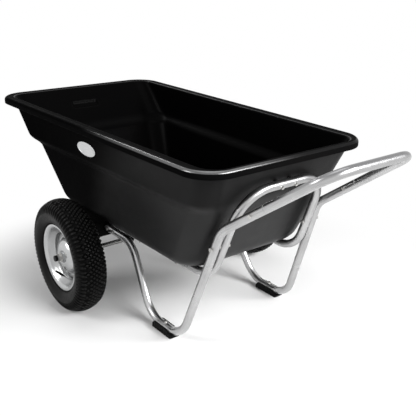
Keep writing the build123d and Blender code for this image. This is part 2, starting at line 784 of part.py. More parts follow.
def tyre(side):
    shell = tyre_section(side, 0, 0) - tyre_section(side, TYRE_SIDE_THICK, TYRE_TREAD_THICK)
    return turned(shell, side) - tread_notches(side)


def tread_notches(side):
    """Cuts across both shoulders of the tread, the two rows staggered."""
    half = TYRE_TREAD_WIDTH / 2
    rise = TYRE_R - TYRE_SHOULDER_R
    crown_arc = (half * half + rise * rise) / (2 * rise)
    lean = NOTCH_TURN * pi / 180
    across = crown_arc * sin(lean)
    radius = TYRE_R - crown_arc + crown_arc * cos(lean)
    cutter = Box(NOTCH_WIDTH, NOTCH_LENGTH, 2 * NOTCH_DEPTH)
    cuts = []
    for shoulder, stagger in ((-1, 0), (1, 0.5)):
        on_shoulder = Pos(0, shoulder * across, radius) * Rot(-shoulder * NOTCH_TURN, 0, 0) * cutter
        for index in range(NOTCHES):
            turn = 360 * (index + stagger) / NOTCHES
            cuts.append(Pos(0, side * WHEEL_Y, AXLE_Z) * Rot(0, turn, 0) * on_shoulder)
    return cuts


def inner_tube(side):
    gap = SEAT_GAP
    lift = RIM_SEAT_R + INNER_TUBE_LIFT
    skin = tyre_section(side, TYRE_SIDE_THICK + gap, TYRE_TREAD_THICK + gap)
    skin = skin - Rectangle(TYRE_WIDTH * 2, 2 * lift)
    gap = SEAT_GAP + TUBE_SKIN
    air = tyre_section(side, TYRE_SIDE_THICK + gap, TYRE_TREAD_THICK + gap)
    air = air - Rectangle(TYRE_WIDTH * 2, 2 * (lift + TUBE_SKIN))
    return turned(skin - air, side)


def rim_line():
    """Tyre side of the rim, from the outer flange in to the well and out again."""
    half = RIM_WIDTH / 2
    well = RIM_WELL_WIDTH / 2
    ramp = well + (RIM_SEAT_R - RIM_WELL_R) * RIM_RAMP
    wall = half - RIM_THICK
    right = [(wall, RIM_FLANGE_R), (wall, RIM_SEAT_R), (ramp, RIM_SEAT_R), (well, RIM_WELL_R)]
    left = [(-s, r) for s, r in reversed(right)]
    return right + left


def rim(side):
    half = RIM_WIDTH / 2
    well = RIM_WELL_WIDTH / 2
    ramp = well + (RIM_SEAT_R - RIM_WELL_R) * RIM_RAMP
    inner = [
        (-half, RIM_FLANGE_R),
        (-half, RIM_SEAT_R - RIM_THICK),
        (-ramp - RIM_THICK / 2, RIM_SEAT_R - RIM_THICK),
        (-well - RIM_THICK / 2, RIM_WELL_R - RIM_THICK),
        (well + RIM_THICK / 2, RIM_WELL_R - RIM_THICK),
        (ramp + RIM_THICK / 2, RIM_SEAT_R - RIM_THICK),
        (half, RIM_SEAT_R - RIM_THICK),
        (half, RIM_FLANGE_R),
    ]
    ring = turned(ring_section(side, rim_line() + inner), side)
    return ring - valve_hole(side)


def dome_line(side, inset):
    """Bulged run of the disc from its flat ring up to the hub, drawn in by the inset."""
    k = up(side)
    foot = (DISC_S - inset, k * (DOME_R - inset / 2))
    head = (DISC_S + DOME_RISE - inset, k * (DOME_TOP_R - inset / 2))
    run = (head[0] - foot[0], head[1] - foot[1])
    length = sqrt(run[0] ** 2 + run[1] ** 2)
    swell = DOME_BULGE / length
    middle = ((foot[0] + head[0]) / 2 - swell * k * run[1], (foot[1] + head[1]) / 2 + swell * k * run[0])
    return foot, ThreePointArc(foot, middle, head), head


def wheel_disc(side):
    """Dished centre: a flange welded in the rim's well, a flat ring and a dome that meets the hub."""
    k = up(side)
    edge = k * (RIM_WELL_R - RIM_THICK - SEAT_GAP / 3)
    inner_edge = edge - k * RIM_THICK
    flange = DISC_S - RIM_WELL_WIDTH / 2
    collar = k * (HUB_R + RUN_GAP)
    face_foot, face_arc, face_head = dome_line(side, 0)
    back_foot, back_arc, back_head = dome_line(side, RIM_THICK)
    hub_side = Polyline(face_head, (face_head[0], collar), (back_head[0], collar), back_head)
    welded = [(back_foot[0], inner_edge), (flange, inner_edge), (flange, edge), (face_foot[0], edge)]
    rim_side = Polyline(back_foot, *welded, face_foot)
    return turned(make_face(Curve() + [face_arc, hub_side, back_arc, rim_side]), side)


def hub_tube(side):
    """Hub barrel with a seat for a bearing at each end."""
    seat = HUB_HALF - BEARING_WIDTH - SEAT_GAP / 3
    bore = BEARING_R + RUN_GAP
    points = [
        (-HUB_HALF, HUB_R),
        (HUB_HALF, HUB_R),
        (HUB_HALF, bore),
        (seat, bore),
        (seat, bore - BEARING_SHOULDER),
        (-seat, bore - BEARING_SHOULDER),
        (-seat, bore),
        (-HUB_HALF, bore),
    ]
    return turned(ring_section(side, points), side)


def bearing_middles():
    middle = HUB_HALF - BEARING_WIDTH / 2
    return (-middle, middle)


def ball_track_r():
    return (BEARING_R - RACE_THICK + AXLE_R + RUN_GAP + RACE_THICK) / 2


def ball_groove(side, middle):
    k = up(side)
    return Pos(middle, k * ball_track_r()) * Circle(BALL_R + BALL_GAP)


def race(side, low, high):
    """Pair of bearing rings between two radii, with the balls' groove cut in."""
    rings = []
    for middle in bearing_middles():
        near = middle - BEARING_WIDTH / 2
        far = middle + BEARING_WIDTH / 2
        section = ring_section(side, [(near, low), (far, low), (far, high), (near, high)])
        rings.append(turned(section - ball_groove(side, middle), side))
    return Compound(children=rings)


def bearing_outer_rings(side):
    return race(side, BEARING_R - RACE_THICK, BEARING_R)


def bearing_inner_rings(side):
    return race(side, AXLE_R + RUN_GAP, AXLE_R + RUN_GAP + RACE_THICK)


def bearing_balls(side):
    balls = []
    for middle in bearing_middles():
        for index in range(BALLS):
            turn = 2 * pi * index / BALLS
            x = cos(turn) * ball_track_r()
            z = AXLE_Z + sin(turn) * ball_track_r()
            balls.append(Pos(x, side * (WHEEL_Y + middle), z) * Sphere(BALL_R))
    return Compound(children=balls)


def hub_spacer(side):
    """Sleeve on the axle that keeps the two inner rings apart."""
    half = HUB_HALF - BEARING_WIDTH - SEAT_GAP / 3
    low = AXLE_R + RUN_GAP
    points = [(-half, low), (half, low), (half, low + RACE_THICK), (-half, low + RACE_THICK)]
    return turned(ring_section(side, points), side)


def valve_frame(side):
    """Root and direction of a valve: out of the rim's well, leaning to the outer side."""
    turn = VALVE_ANGLE * pi / 180
    radial = (cos(turn), 0, sin(turn))
    lean = (-radial[0], side * VALVE_LEAN, -radial[2])
    s = RIM_WELL_WIDTH / 2 + VALVE_OFFSET
    r = RIM_WELL_R + VALVE_RISE
    root = (radial[0] * r, side * (WHEEL_Y + s), AXLE_Z + radial[2] * r)
    return root, lean


def valve_hole(side):
    root, lean = valve_frame(side)
    return rod(along(root, lean, -VALVE_RISE), lean, VALVE_R + SEAT_GAP, VALVE_LENGTH)


def valve_stem(side):
    root, lean = valve_frame(side)
    stem = rod(root, lean, VALVE_R, VALVE_LENGTH - VALVE_CAP_LENGTH)
    tip = along(root, lean, VALVE_LENGTH - VALVE_CAP_LENGTH)
    return stem + rod(tip, lean, VALVE_TIP_R, VALVE_TIP_LENGTH)


def valve_cap(side):
    root, lean = valve_frame(side)
    start = along(root, lean, VALVE_LENGTH - VALVE_CAP_LENGTH + SEAT_GAP)
    cap = rod(start, lean, VALVE_CAP_R, VALVE_CAP_LENGTH)
    return cap - rod(along(start, lean, -OVERCUT), lean, VALVE_TIP_R + RUN_GAP, VALVE_TIP_LENGTH + OVERCUT)


# Every node of the cart

def all_parts():
    parts = {
        "tub": tub(),
        "badge_plate": badge_plate(),
        "cradle_tube": cradle_tube(),
        "handle_loop": handle_loop(),
        "tube_end_plugs": tube_end_plugs(),
        "front_beam": front_beam(),
        "axle": axle(),
        "axle_pins": axle_pins(),
        "axle_collars": on_axle(axle_collar),
        "axle_inner_washers": on_axle(inner_washer),
        "axle_outer_washers": on_axle(outer_washer),
        "axle_nuts": on_axle(axle_nut),
        "axle_end_caps": on_axle(axle_end_cap),
    }
    parts["foot_bolts"], parts["foot_washers"], parts["foot_nuts"] = foot_bolt_sets()
    parts["tub_floor_bolts"], parts["tub_floor_washers"], parts["tub_floor_nuts"] = floor_bolt_sets()
    parts["tub_back_bolts"], parts["tub_back_nuts"], parts["tub_back_spacers"] = cross_bolt_sets()
    parts["front_leg_bolts"], parts["front_leg_nuts"] = cross_set(front_bolt_places, BOLT_D)
    parts["front_beam_bolts"], parts["front_beam_nuts"] = cross_set(beam_bolt_places, BOLT_D)
    parts["rear_leg_bolts"], parts["rear_leg_nuts"] = cross_set(rear_bolt_places, BOLT_D)
    parts["handle_bolts"], parts["handle_nuts"] = cross_set(handle_bolt_places, SMALL_BOLT_D)
    per_side = (
        leg_tube, foot_pad, axle_bracket, hub_spacer, bearing_inner_rings,
        tyre, inner_tube, rim, wheel_disc, hub_tube, bearing_outer_rings, bearing_balls,
        valve_stem, valve_cap,
    )
    for name, side in SIDES.items():
        for make in per_side:
            parts[f"{name}_{make.__name__}"] = make(side)
    return parts


os.makedirs("parts", exist_ok=True)
for node, shape in all_parts().items():
    export_step(Pos(SHIFT_X, 0, 0) * shape, f"parts/{node}.step")
print("cart moved along X by", round(SHIFT_X, 3))
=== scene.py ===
# %% [markdown]
# # A two-wheeled garden cart, dressed in Blender
# The cart's solids come from the CAD model and stay where they are. This file loads them, gives every
# one a finish, and builds finer surfaces for the pieces whose look needs more than a plain solid:
# the moulded tub, the bent tubes, the tyres, the pressed wheels, the badge plate and the beam's apron.

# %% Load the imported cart
import json
import math
import bmesh
import bpy
import numpy as np
from mathutils import Matrix, Vector


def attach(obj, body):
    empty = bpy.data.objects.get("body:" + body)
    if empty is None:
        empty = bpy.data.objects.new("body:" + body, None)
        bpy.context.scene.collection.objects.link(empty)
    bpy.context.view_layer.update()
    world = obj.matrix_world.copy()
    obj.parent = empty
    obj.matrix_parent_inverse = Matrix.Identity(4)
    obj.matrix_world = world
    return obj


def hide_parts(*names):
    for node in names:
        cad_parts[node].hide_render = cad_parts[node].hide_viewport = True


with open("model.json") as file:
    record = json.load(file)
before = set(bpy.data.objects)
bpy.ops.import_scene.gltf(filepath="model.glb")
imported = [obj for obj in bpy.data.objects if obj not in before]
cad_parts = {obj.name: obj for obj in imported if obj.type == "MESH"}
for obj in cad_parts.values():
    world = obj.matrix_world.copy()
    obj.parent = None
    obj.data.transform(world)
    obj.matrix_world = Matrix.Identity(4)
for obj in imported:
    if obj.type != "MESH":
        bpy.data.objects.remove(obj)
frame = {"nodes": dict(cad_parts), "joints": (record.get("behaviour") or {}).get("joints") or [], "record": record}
scene = bpy.context.scene
nodes = frame["nodes"]
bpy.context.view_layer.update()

# %% [markdown]
# ## One way to write places
# The tub and the frame are easiest to describe in millimetres from the middle of the axle. The row frame
# is in metres with its origin under the middle of the cart. The wheel's joint in the record says where
# the axle is, so one small helper carries every shape across.

# %% From millimetres at the axle to metres in the row frame
AXLE_X = frame["joints"][0]["pos_m"][0]
TYRE_R = 200.0
TYRE_MIDDLE = 406.0
SIDES = {"left": -1, "right": 1}


def here(places):
    """Row frame in metres = millimetres / 1000, moved along X by the axle's place."""
    return np.asarray(places, float) / 1000 + np.array([AXLE_X, 0.0, 0.0])


print("axle stands at x =", AXLE_X)

# %% [markdown]
# ## The camera
# The view was found by lining the model up with the wheels, the lip and the legs: a standing person's
# view from behind the cart's left corner, looking down about 21 degrees. A camera looks along its own
# minus Z, so the three columns of its matrix are its right, its up and its back.

# %% Camera
TURN, DROP, ROLL = 0.90506, 0.36339, 0.011407
back = np.array([math.sin(TURN) * math.cos(DROP), -math.cos(TURN) * math.cos(DROP), math.sin(DROP)])
level = np.array([math.cos(TURN), math.sin(TURN), 0.0])
upright = np.cross(back, level)
right = math.cos(ROLL) * level + math.sin(ROLL) * upright
above = math.cos(ROLL) * upright - math.sin(ROLL) * level
eye = here((1906.1, -1291.4, 1158.0))

lens = bpy.data.cameras.new("view")
lens.sensor_width = 36.0
lens.lens = 56.1
camera = bpy.data.objects.new("view", lens)
columns = np.column_stack([right, above, back, eye])
camera.matrix_world = Matrix([*columns.tolist(), [0, 0, 0, 1]])
scene.collection.objects.link(camera)
scene.camera = camera
print("camera at", eye.round(3))

# %% [markdown]
# ## A plain studio
# The cart stands on a white sweep in soft light. The main lamp is large and stands behind the handle, so
# the floor is bright under the back of the tub and dark behind the near wheel. A second lamp at the near
# side lights the wheel, a weak one hangs overhead, and a small one beyond the nose draws a line of light
# along the lip. The world fills the shadows. Rays that reach the camera, a mirror or glass see a
# world of strength 1, which is white.

# %% Lamps and world
scene.view_settings.view_transform = "Standard"


def lamp(name, place, aim, wide, tall, power):
    """Oblong area lamp at a place, turned so that it shines at the aim."""
    light = bpy.data.lights.new(name, "AREA")
    light.shape = "RECTANGLE"
    light.size = wide
    light.size_y = tall
    light.energy = power
    made = bpy.data.objects.new(name, light)
    made.location = place
    made.rotation_euler = (Vector(aim) - Vector(place)).to_track_quat("-Z", "Y").to_euler()
    scene.collection.objects.link(made)


lamp("behind_handle", (3.1, 0.9, 2.1), (0.0, 0.0, 0.1), 2.6, 1.3, 230)
lamp("near_side", (-0.9, -3.0, 2.1), (0.0, 0.0, 0.2), 1.3, 1.3, 55)
lamp("overhead", (0.2, 0.0, 2.9), (0.0, 0.0, 0.0), 1.6, 1.6, 14)
lamp("beyond_the_nose", (-2.7, 0.1, 2.4), (0.0, 0.0, 0.6), 0.5, 0.4, 8)


def see_as_background(tree):
    """1 for rays that show a background: from the camera, a mirror or glass."""
    path = tree.nodes.new("ShaderNodeLightPath")
    total = path.outputs["Is Camera Ray"]
    for ray in ("Is Glossy Ray", "Is Transmission Ray"):
        join = tree.nodes.new("ShaderNodeMath")
        join.operation = "MAXIMUM"
        tree.links.new(total, join.inputs[0])
        tree.links.new(path.outputs[ray], join.inputs[1])
        total = join.outputs[0]
    return total


world = bpy.data.worlds.new("studio")
scene.world = world
world.use_nodes = True
sky = world.node_tree
sky.nodes.clear()
fill = sky.nodes.new("ShaderNodeBackground")
fill.inputs["Color"].default_value = (1.0, 1.0, 1.0, 1)
fill.inputs["Strength"].default_value = 0.09
white = sky.nodes.new("ShaderNodeBackground")
white.inputs["Color"].default_value = (1.0, 1.0, 1.0, 1)
white.inputs["Strength"].default_value = 1.0
choose = sky.nodes.new("ShaderNodeMixShader")
sky.links.new(see_as_background(sky), choose.inputs[0])
sky.links.new(fill.outputs[0], choose.inputs[1])
sky.links.new(white.outputs[0], choose.inputs[2])
sky.links.new(choose.outputs[0], sky.nodes.new("ShaderNodeOutputWorld").inputs[0])

# %% [markdown]
# ## The floor
# A shadow needs something to fall on. The floor is a wide disc that fades to plain white away from the
# cart, so no horizon shows. Near the cart it is white card that takes the shadow, lifted a little
# for the rays that show a background.

# %% Floor
CARD_WHITE, LIFT, FADE_STARTS, FADE_ENDS = 0.86, 0.02, 0.55, 1.1
FLOOR_REACH, FLOOR_SIDES, FLOOR_SINK = 6.0, 96, 0.0006


def floor_finish():
    """White card that takes the shadow, faded to plain white away from the cart."""
    made = bpy.data.materials.new("white_card")
    made.use_nodes = True
    tree = made.node_tree
    tree.nodes.clear()
    card = tree.nodes.new("ShaderNodeBsdfDiffuse")
    card.inputs["Color"].default_value = (CARD_WHITE, CARD_WHITE, CARD_WHITE, 1)
    lift = tree.nodes.new("ShaderNodeEmission")
    lift.inputs["Color"].default_value = (1, 1, 1, 1)
    seen = see_as_background(tree)
    share = tree.nodes.new("ShaderNodeMath")
    share.operation = "MULTIPLY"
    share.inputs[1].default_value = LIFT
    tree.links.new(seen, share.inputs[0])
    tree.links.new(share.outputs[0], lift.inputs["Strength"])
    lit = tree.nodes.new("ShaderNodeAddShader")
    tree.links.new(card.outputs[0], lit.inputs[0])
    tree.links.new(lift.outputs[0], lit.inputs[1])
    far = tree.nodes.new("ShaderNodeEmission")
    far.inputs["Color"].default_value = (1, 1, 1, 1)
    far.inputs["Strength"].default_value = 1.0
    place = tree.nodes.new("ShaderNodeTexCoord")
    reach = tree.nodes.new("ShaderNodeVectorMath")
    reach.operation = "LENGTH"
    tree.links.new(place.outputs["Object"], reach.inputs[0])
    fade = tree.nodes.new("ShaderNodeMapRange")
    fade.interpolation_type = "SMOOTHSTEP"
    fade.inputs["From Min"].default_value = FADE_STARTS
    fade.inputs["From Max"].default_value = FADE_ENDS
    tree.links.new(reach.outputs["Value"], fade.inputs["Value"])
    both = tree.nodes.new("ShaderNodeMath")
    both.operation = "MULTIPLY"
    tree.links.new(fade.outputs[0], both.inputs[0])
    tree.links.new(seen, both.inputs[1])
    choose = tree.nodes.new("ShaderNodeMixShader")
    tree.links.new(both.outputs[0], choose.inputs[0])
    tree.links.new(lit.outputs[0], choose.inputs[1])
    tree.links.new(far.outputs[0], choose.inputs[2])
    tree.links.new(choose.outputs[0], tree.nodes.new("ShaderNodeOutputMaterial").inputs[0])
    return made


turn = np.linspace(0, 2 * np.pi, FLOOR_SIDES, endpoint=False)
edge = np.column_stack([
    FLOOR_REACH * np.cos(turn), FLOOR_REACH * np.sin(turn), np.full(FLOOR_SIDES, -FLOOR_SINK)])
floor_mesh = bpy.data.meshes.new("floor")
floor_mesh.from_pydata(edge.tolist(), [], [list(range(FLOOR_SIDES))])
floor = bpy.data.objects.new("floor", floor_mesh)
floor.data.materials.append(floor_finish())
scene.collection.objects.link(floor)
print("floor disc,", 2 * FLOOR_REACH, "m across")

# %% [markdown]
# ## Surfaces from grids
# A moulded or bent piece is a sheet: a grid of points whose rows and columns follow its shape. One helper
# turns such a grid into a mesh. It closes the grid where the piece closes on itself, merges the points
# at a pole, and stores how far each point lies along the rows and columns as its UV map, in metres,
# so that a pattern can follow the surface.

# %% Grid to mesh
def lengths_along(grid, axis, closed):
    """Distance travelled along one direction of the grid, averaged over the other direction."""
    if closed:
        grid = np.concatenate([grid, np.take(grid, [0], axis=axis)], axis=axis)
    steps = np.linalg.norm(np.diff(grid, axis=axis), axis=2).mean(axis=1 - axis)
    return np.concatenate([[0.0], np.cumsum(steps)])


def sheet_mesh(name, grid, closed_rows=False, closed_columns=False, crease=40):
    """Quads between neighbours of a grid of points (rows, columns, 3), with UV = distances along it."""
    rows, columns = grid.shape[:2]
    tall, wide = rows + closed_rows, columns + closed_columns
    i, j = np.meshgrid(np.arange(tall), np.arange(wide), indexing="ij")
    corner = (i % rows) * columns + (j % columns)
    spread = np.stack(np.meshgrid(
        lengths_along(grid, 0, closed_rows), lengths_along(grid, 1, closed_columns), indexing="ij"), -1)

    def around(values):
        return np.stack([values[:-1, :-1], values[1:, :-1], values[1:, 1:], values[:-1, 1:]], 2)

    quads = around(corner).reshape(-1, 4)
    uv = around(spread).reshape(-1, 2)
    mesh = bpy.data.meshes.new(name)
    mesh.vertices.add(rows * columns)
    mesh.vertices.foreach_set("co", grid.reshape(-1).astype(np.float32))
    mesh.loops.add(quads.size)
    mesh.loops.foreach_set("vertex_index", quads.reshape(-1).astype(np.int32))
    mesh.polygons.add(len(quads))
    mesh.polygons.foreach_set("loop_start", np.arange(0, quads.size, 4, dtype=np.int32))
    mesh.update(calc_edges=True)
    mesh.uv_layers.new(name="along").uv.foreach_set("vector", uv.reshape(-1).astype(np.float32))
    close_poles(mesh)
    mesh.polygons.foreach_set("use_smooth", np.ones(len(mesh.polygons), bool))
    mesh.set_sharp_from_angle(angle=math.radians(crease))
    return mesh


def close_poles(mesh):
    """Merge points that lie on each other, and turn all faces outwards."""
    work = bmesh.new()
    work.from_mesh(mesh)
    bmesh.ops.remove_doubles(work, verts=work.verts, dist=2e-6)
    bmesh.ops.dissolve_degenerate(work, edges=work.edges, dist=1e-7)
    bmesh.ops.recalc_face_normals(work, faces=work.faces)
    work.to_mesh(mesh)
    work.free()
    mesh.update()


def piece(name, mesh, body, material, slot, *stands_for):
    """Object at the origin that rides on a body and stands for CAD nodes."""
    made = bpy.data.objects.new(name, mesh)
    scene.collection.objects.link(made)
    mesh.materials.append(material)
    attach(made, body)
    if stands_for:
        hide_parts(*stands_for)
    print(name, "has", len(mesh.vertices), "points and", len(mesh.polygons), "faces")


print("grid helpers ready")

# %% [markdown]
# ## Building finishes
# Every finish is a Principled shader fed by a few procedural textures. Numbers that hold all over a piece
# sit on the shader's own sockets. What varies, such as tone, roughness and fine relief, comes from noise
# that reads the piece's own coordinates, so the pattern stays on the piece when it turns or is exported.

# %% Shader helpers
def finish(name, **sockets):
    """Material with one Principled shader, its steady values set by socket name."""
    made = bpy.data.materials.new(name)
    made.use_nodes = True
    shader = made.node_tree.nodes["Principled BSDF"]
    for socket, value in sockets.items():
        shader.inputs[socket.replace("_", " ")].default_value = value
    return made, made.node_tree, shader


def coordinates(tree, kind, stretch=(1, 1, 1)):
    """Object or UV coordinates, stretched along their axes."""
    place = tree.nodes.new("ShaderNodeTexCoord")
    turn = tree.nodes.new("ShaderNodeMapping")
    turn.inputs["Scale"].default_value = stretch
    tree.links.new(place.outputs[kind], turn.inputs["Vector"])
    return turn.outputs[0]


def grain(tree, where, scale, low, high, detail=4.0, spread=(0.3, 0.7)):
    """Noise at a scale, remapped to run from low to high."""
    noise = tree.nodes.new("ShaderNodeTexNoise")
    noise.inputs["Scale"].default_value = scale
    noise.inputs["Detail"].default_value = detail
    tree.links.new(where, noise.inputs["Vector"])
    remap = tree.nodes.new("ShaderNodeMapRange")
    remap.inputs["From Min"].default_value = spread[0]
    remap.inputs["From Max"].default_value = spread[1]
    remap.inputs["To Min"].default_value = low
    remap.inputs["To Max"].default_value = high
    tree.links.new(noise.outputs[0], remap.inputs["Value"])
    return remap.outputs[0]


def mixed(tree, share, first, second):
    """Colour between two colours by a share."""
    mix = tree.nodes.new("ShaderNodeMix")
    mix.data_type = "RGBA"
    for socket, colour in ((6, first), (7, second)):
        if isinstance(colour, tuple):
            mix.inputs[socket].default_value = (*colour, 1)
        else:
            tree.links.new(colour, mix.inputs[socket])
    tree.links.new(share, mix.inputs[0])
    return mix.outputs[2]


def between(tree, share, low, high, ends=(0.0, 1.0)):
    """Number that runs smoothly from low to high while the share runs between its ends."""
    remap = tree.nodes.new("ShaderNodeMapRange")
    remap.interpolation_type = "SMOOTHSTEP"
    remap.inputs["From Min"].default_value = ends[0]
    remap.inputs["From Max"].default_value = ends[1]
    for socket, value in (("Value", share), ("To Min", low), ("To Max", high)):
        if isinstance(value, float):
            remap.inputs[socket].default_value = value
        else:
            tree.links.new(value, remap.inputs[socket])
    return remap.outputs[0]


def measure(tree, where, operation, against):
    """One number from a place: its share along a direction, or its distance from a point."""
    sum_up = tree.nodes.new("ShaderNodeVectorMath")
    sum_up.operation = operation
    tree.links.new(where, sum_up.inputs[0])
    sum_up.inputs[1].default_value = against
    return sum_up.outputs["Value"]


def from_axle(tree, where):
    """Distance from the wheels' axis."""
    flat = tree.nodes.new("ShaderNodeVectorMath")
    flat.operation = "MULTIPLY"
    tree.links.new(where, flat.inputs[0])
    flat.inputs[1].default_value = (1, 0, 1)
    return measure(tree, flat.outputs[0], "DISTANCE", (AXLE_X, 0, TYRE_R / 1000))


def relief(tree, shader, height, depth):
    """Bump from a height of 0 to 1, where 1 stands that many metres proud."""
    bump = tree.nodes.new("ShaderNodeBump")
    bump.inputs["Distance"].default_value = depth
    tree.links.new(height, bump.inputs["Height"])
    tree.links.new(bump.outputs[0], shader.inputs["Normal"])


print("shader helpers ready")

# %% [markdown]
# ## The tub
# The tub is one moulded shell: a flat floor, leaning walls, a step where the upper band stands proud, and
# a lip that rolls over to a hanging skirt. Such a shell could be modelled as a box with bevels, but the
# real one changes its outline at every height. So it is drawn as a profile of rows from the floor's
# middle inside, up and over the lip, and down to the floor's middle outside. Each row is a tapered
# rectangle with round corners, worked out from the walls' shape at that height.

# %% Shape of the tub's walls
LEVELS = np.array([200.0, 263.9, 492.0, 512.0, 647.0, 700.0])
FRONTS = np.array([-352.0, -478.0, -520.0, -645.0])
HALF_FRONTS = np.array([250.0, 296.0, 321.0, 323.0])
HALF_BACKS = np.array([250.0, 265.0, 279.0, 298.0])
FRONT_CORNERS = np.array([70.0, 72.0, 72.0, 66.0])
BACK_CORNERS = np.array([98.0, 72.0, 72.0, 66.0])
LIP_Z, LIP_FRONT, LIP_BACK, LIP_HALVES, LIP_CORNER = 647.0, -679.0, 666.0, (357.0, 332.0), 100.0
FLOOR_Z, FLOOR_ROUND, WALL = 263.9, 44.0, 6.0
BACK_LEAN = math.radians(24.2)
BACK_SLOPE = math.tan(BACK_LEAN)
BACK_INSET = 16.0
TUB_MIDDLE = np.array([50.0, 0.0])
SOFTEN = np.linspace(-9.0, 9.0, 13)


def at_height(z, values):
    """Straight runs between the levels, with their corners softened by averaging over nearby heights."""
    first = values[0] + (values[1] - values[0]) * (LEVELS[0] - LEVELS[1]) / (LEVELS[2] - LEVELS[1])
    last = values[3] + (values[3] - values[2]) * (LEVELS[5] - LEVELS[4]) / (LEVELS[4] - LEVELS[3])
    runs = np.concatenate([[first], values, [last]])
    return np.interp(z[:, None] + SOFTEN[None, :], LEVELS, runs).mean(axis=1)


def rear_at(z):
    """Place of the rear wall at a height: it leans back from the lip's inner edge."""
    return LIP_BACK - BACK_INSET - (LIP_Z - z) * BACK_SLOPE


def wall_corners(z):
    """Four corners of the wall's outer outline at each height, and the radius of each corner."""
    front, half_front, half_back = (at_height(z, v) for v in (FRONTS, HALF_FRONTS, HALF_BACKS))
    rear = rear_at(z)
    xs = np.stack([front, rear, rear, front], 1)
    ys = np.stack([-half_front, -half_back, half_back, half_front], 1)
    front_radius, back_radius = at_height(z, FRONT_CORNERS), at_height(z, BACK_CORNERS)
    return np.stack([xs, ys], 2), np.stack([front_radius, back_radius, back_radius, front_radius], 1)


LIP_CORNERS = np.array([
    (LIP_FRONT, -LIP_HALVES[0]), (LIP_BACK, -LIP_HALVES[1]),
    (LIP_BACK, LIP_HALVES[1]), (LIP_FRONT, LIP_HALVES[0])])


def round_outline(corners, radius, inset, arc, runs):
    """Outline with round corners, drawn in by the inset: each corner's arc turns about a centre that stands
    the radius inside both edges, and straight runs join the arcs."""
    ahead = np.roll(corners, -1, axis=1) - corners
    ahead /= np.linalg.norm(ahead, axis=2, keepdims=True)
    out_next = np.stack([ahead[..., 1], -ahead[..., 0]], -1)
    out_last = np.roll(out_next, 1, axis=1)
    meet = (out_last * out_next).sum(-1, keepdims=True)
    centre = corners - radius[..., None] * (out_last + out_next) / (1 + meet)
    turn = np.arccos(np.clip(meet, -1, 1))[..., None, :]
    t = np.linspace(0, 1, arc)[None, None, :, None]
    last, following = np.sin((1 - t) * turn), np.sin(t * turn)
    facing = (last * out_last[:, :, None] + following * out_next[:, :, None]) / np.sin(turn)
    arcs = centre[:, :, None] + (radius - inset[:, None])[:, :, None, None] * facing
    parts = []
    for k, count in enumerate(runs):
        s = np.linspace(0, 1, count + 2)[None, 1:-1, None]
        parts += [arcs[:, k], arcs[:, k, -1:] * (1 - s) + np.roll(arcs, -1, axis=1)[:, k, :1] * s]
    return np.concatenate(parts, axis=1)


print("tub is", LIP_BACK - LIP_FRONT, "mm long over the lip")

# %% [markdown]
# ### From floor to lip and back
# Each row of the profile holds a height, how far it lies towards the lip's outer edge, how far it is drawn
# in from the wall, and, on the floor, how much the outline has shrunk towards the middle. The round
# edges are quarter circles in those numbers.

# %% Profile of the tub
quarter = np.linspace(0, np.pi / 2, 9)
falling = quarter[::-1]
half_turn = np.linspace(0, np.pi, 9)
shrink = np.array([0.0, 0.1, 0.3, 0.5, 0.7, 0.85, 0.95])
climb = np.concatenate([np.linspace(318, 470, 20), np.linspace(476, 536, 26), np.linspace(541, 636, 22)])


def rows_of(z, lip=0.0, inset=0.0, share=1.0):
    """Rows of the profile as columns: height, share of the way to the lip, inset, share of full size."""
    return np.stack([c.ravel() for c in np.broadcast_arrays(*map(np.atleast_1d, (z, lip, inset, share)))], 1)


INNER_FLOOR, INNER_ROUND = FLOOR_Z + WALL, FLOOR_ROUND - WALL
tub_rows = np.concatenate([
    rows_of(INNER_FLOOR, 0, WALL + INNER_ROUND, shrink),
    rows_of(INNER_FLOOR + INNER_ROUND * (1 - np.cos(quarter)), 0, WALL + INNER_ROUND * (1 - np.sin(quarter))),
    rows_of(climb, 0, WALL),
    rows_of(640 + 7 * np.sin(quarter), 0, -1 + 7 * np.cos(quarter)),
    rows_of(np.array([646.2, 645.8, 646.2]), np.array([0.3, 0.5, 0.7]), np.array([3.0, 5.5, 8.0])),
    rows_of(635 + 12 * np.cos(quarter), 1, 12 - 12 * np.sin(quarter)),
    rows_of(np.array([631.0, 628.0]), 1, 0),
    rows_of(625 - 3 * np.sin(half_turn), 1, 3 - 3 * np.cos(half_turn)),
    rows_of(np.array([629.0, 633.0]), 1, 6),
    rows_of(636 + 5 * np.sin(quarter), 1, 11 - 5 * np.cos(quarter)),
    rows_of(641, np.array([0.7, 0.3]), np.array([6.5, 0.5])),
    rows_of(637 + 4 * np.cos(quarter), 0, -4 + 4 * np.sin(quarter)),
    rows_of(climb[::-1] - 6, 0, 0),
    rows_of(FLOOR_Z + FLOOR_ROUND * (1 - np.cos(falling)), 0, FLOOR_ROUND * (1 - np.sin(falling))),
    rows_of(FLOOR_Z, 0, FLOOR_ROUND, shrink[::-1]),
])
inside = np.arange(len(tub_rows)) < len(shrink) + len(quarter) + len(climb)
print("profile of the tub has", len(tub_rows), "rows")

# %% [markdown]
# ### The hand hold
# A shallow slot is pressed into the front wall under the lip, to grip when the cart is tipped out.
# It moves the wall's inner and outer faces together, by a soft-edged step in width and height.

# %% Tub surface
SLOT_Y, SLOT_Z, SLOT_HALF, SLOT_TALL, SLOT_DEPTH = -12.0, 586.0, 58.0, 9.0, 9.0
SLOT_WAY = np.array([-0.735, 0.0, -0.678])


def soft_box(distance, half, edge):
    """1 inside the half width and 0 outside, with a smooth edge."""
    t = np.clip((half + edge / 2 - np.abs(distance)) / edge, 0, 1)
    return t * t * (3 - 2 * t)


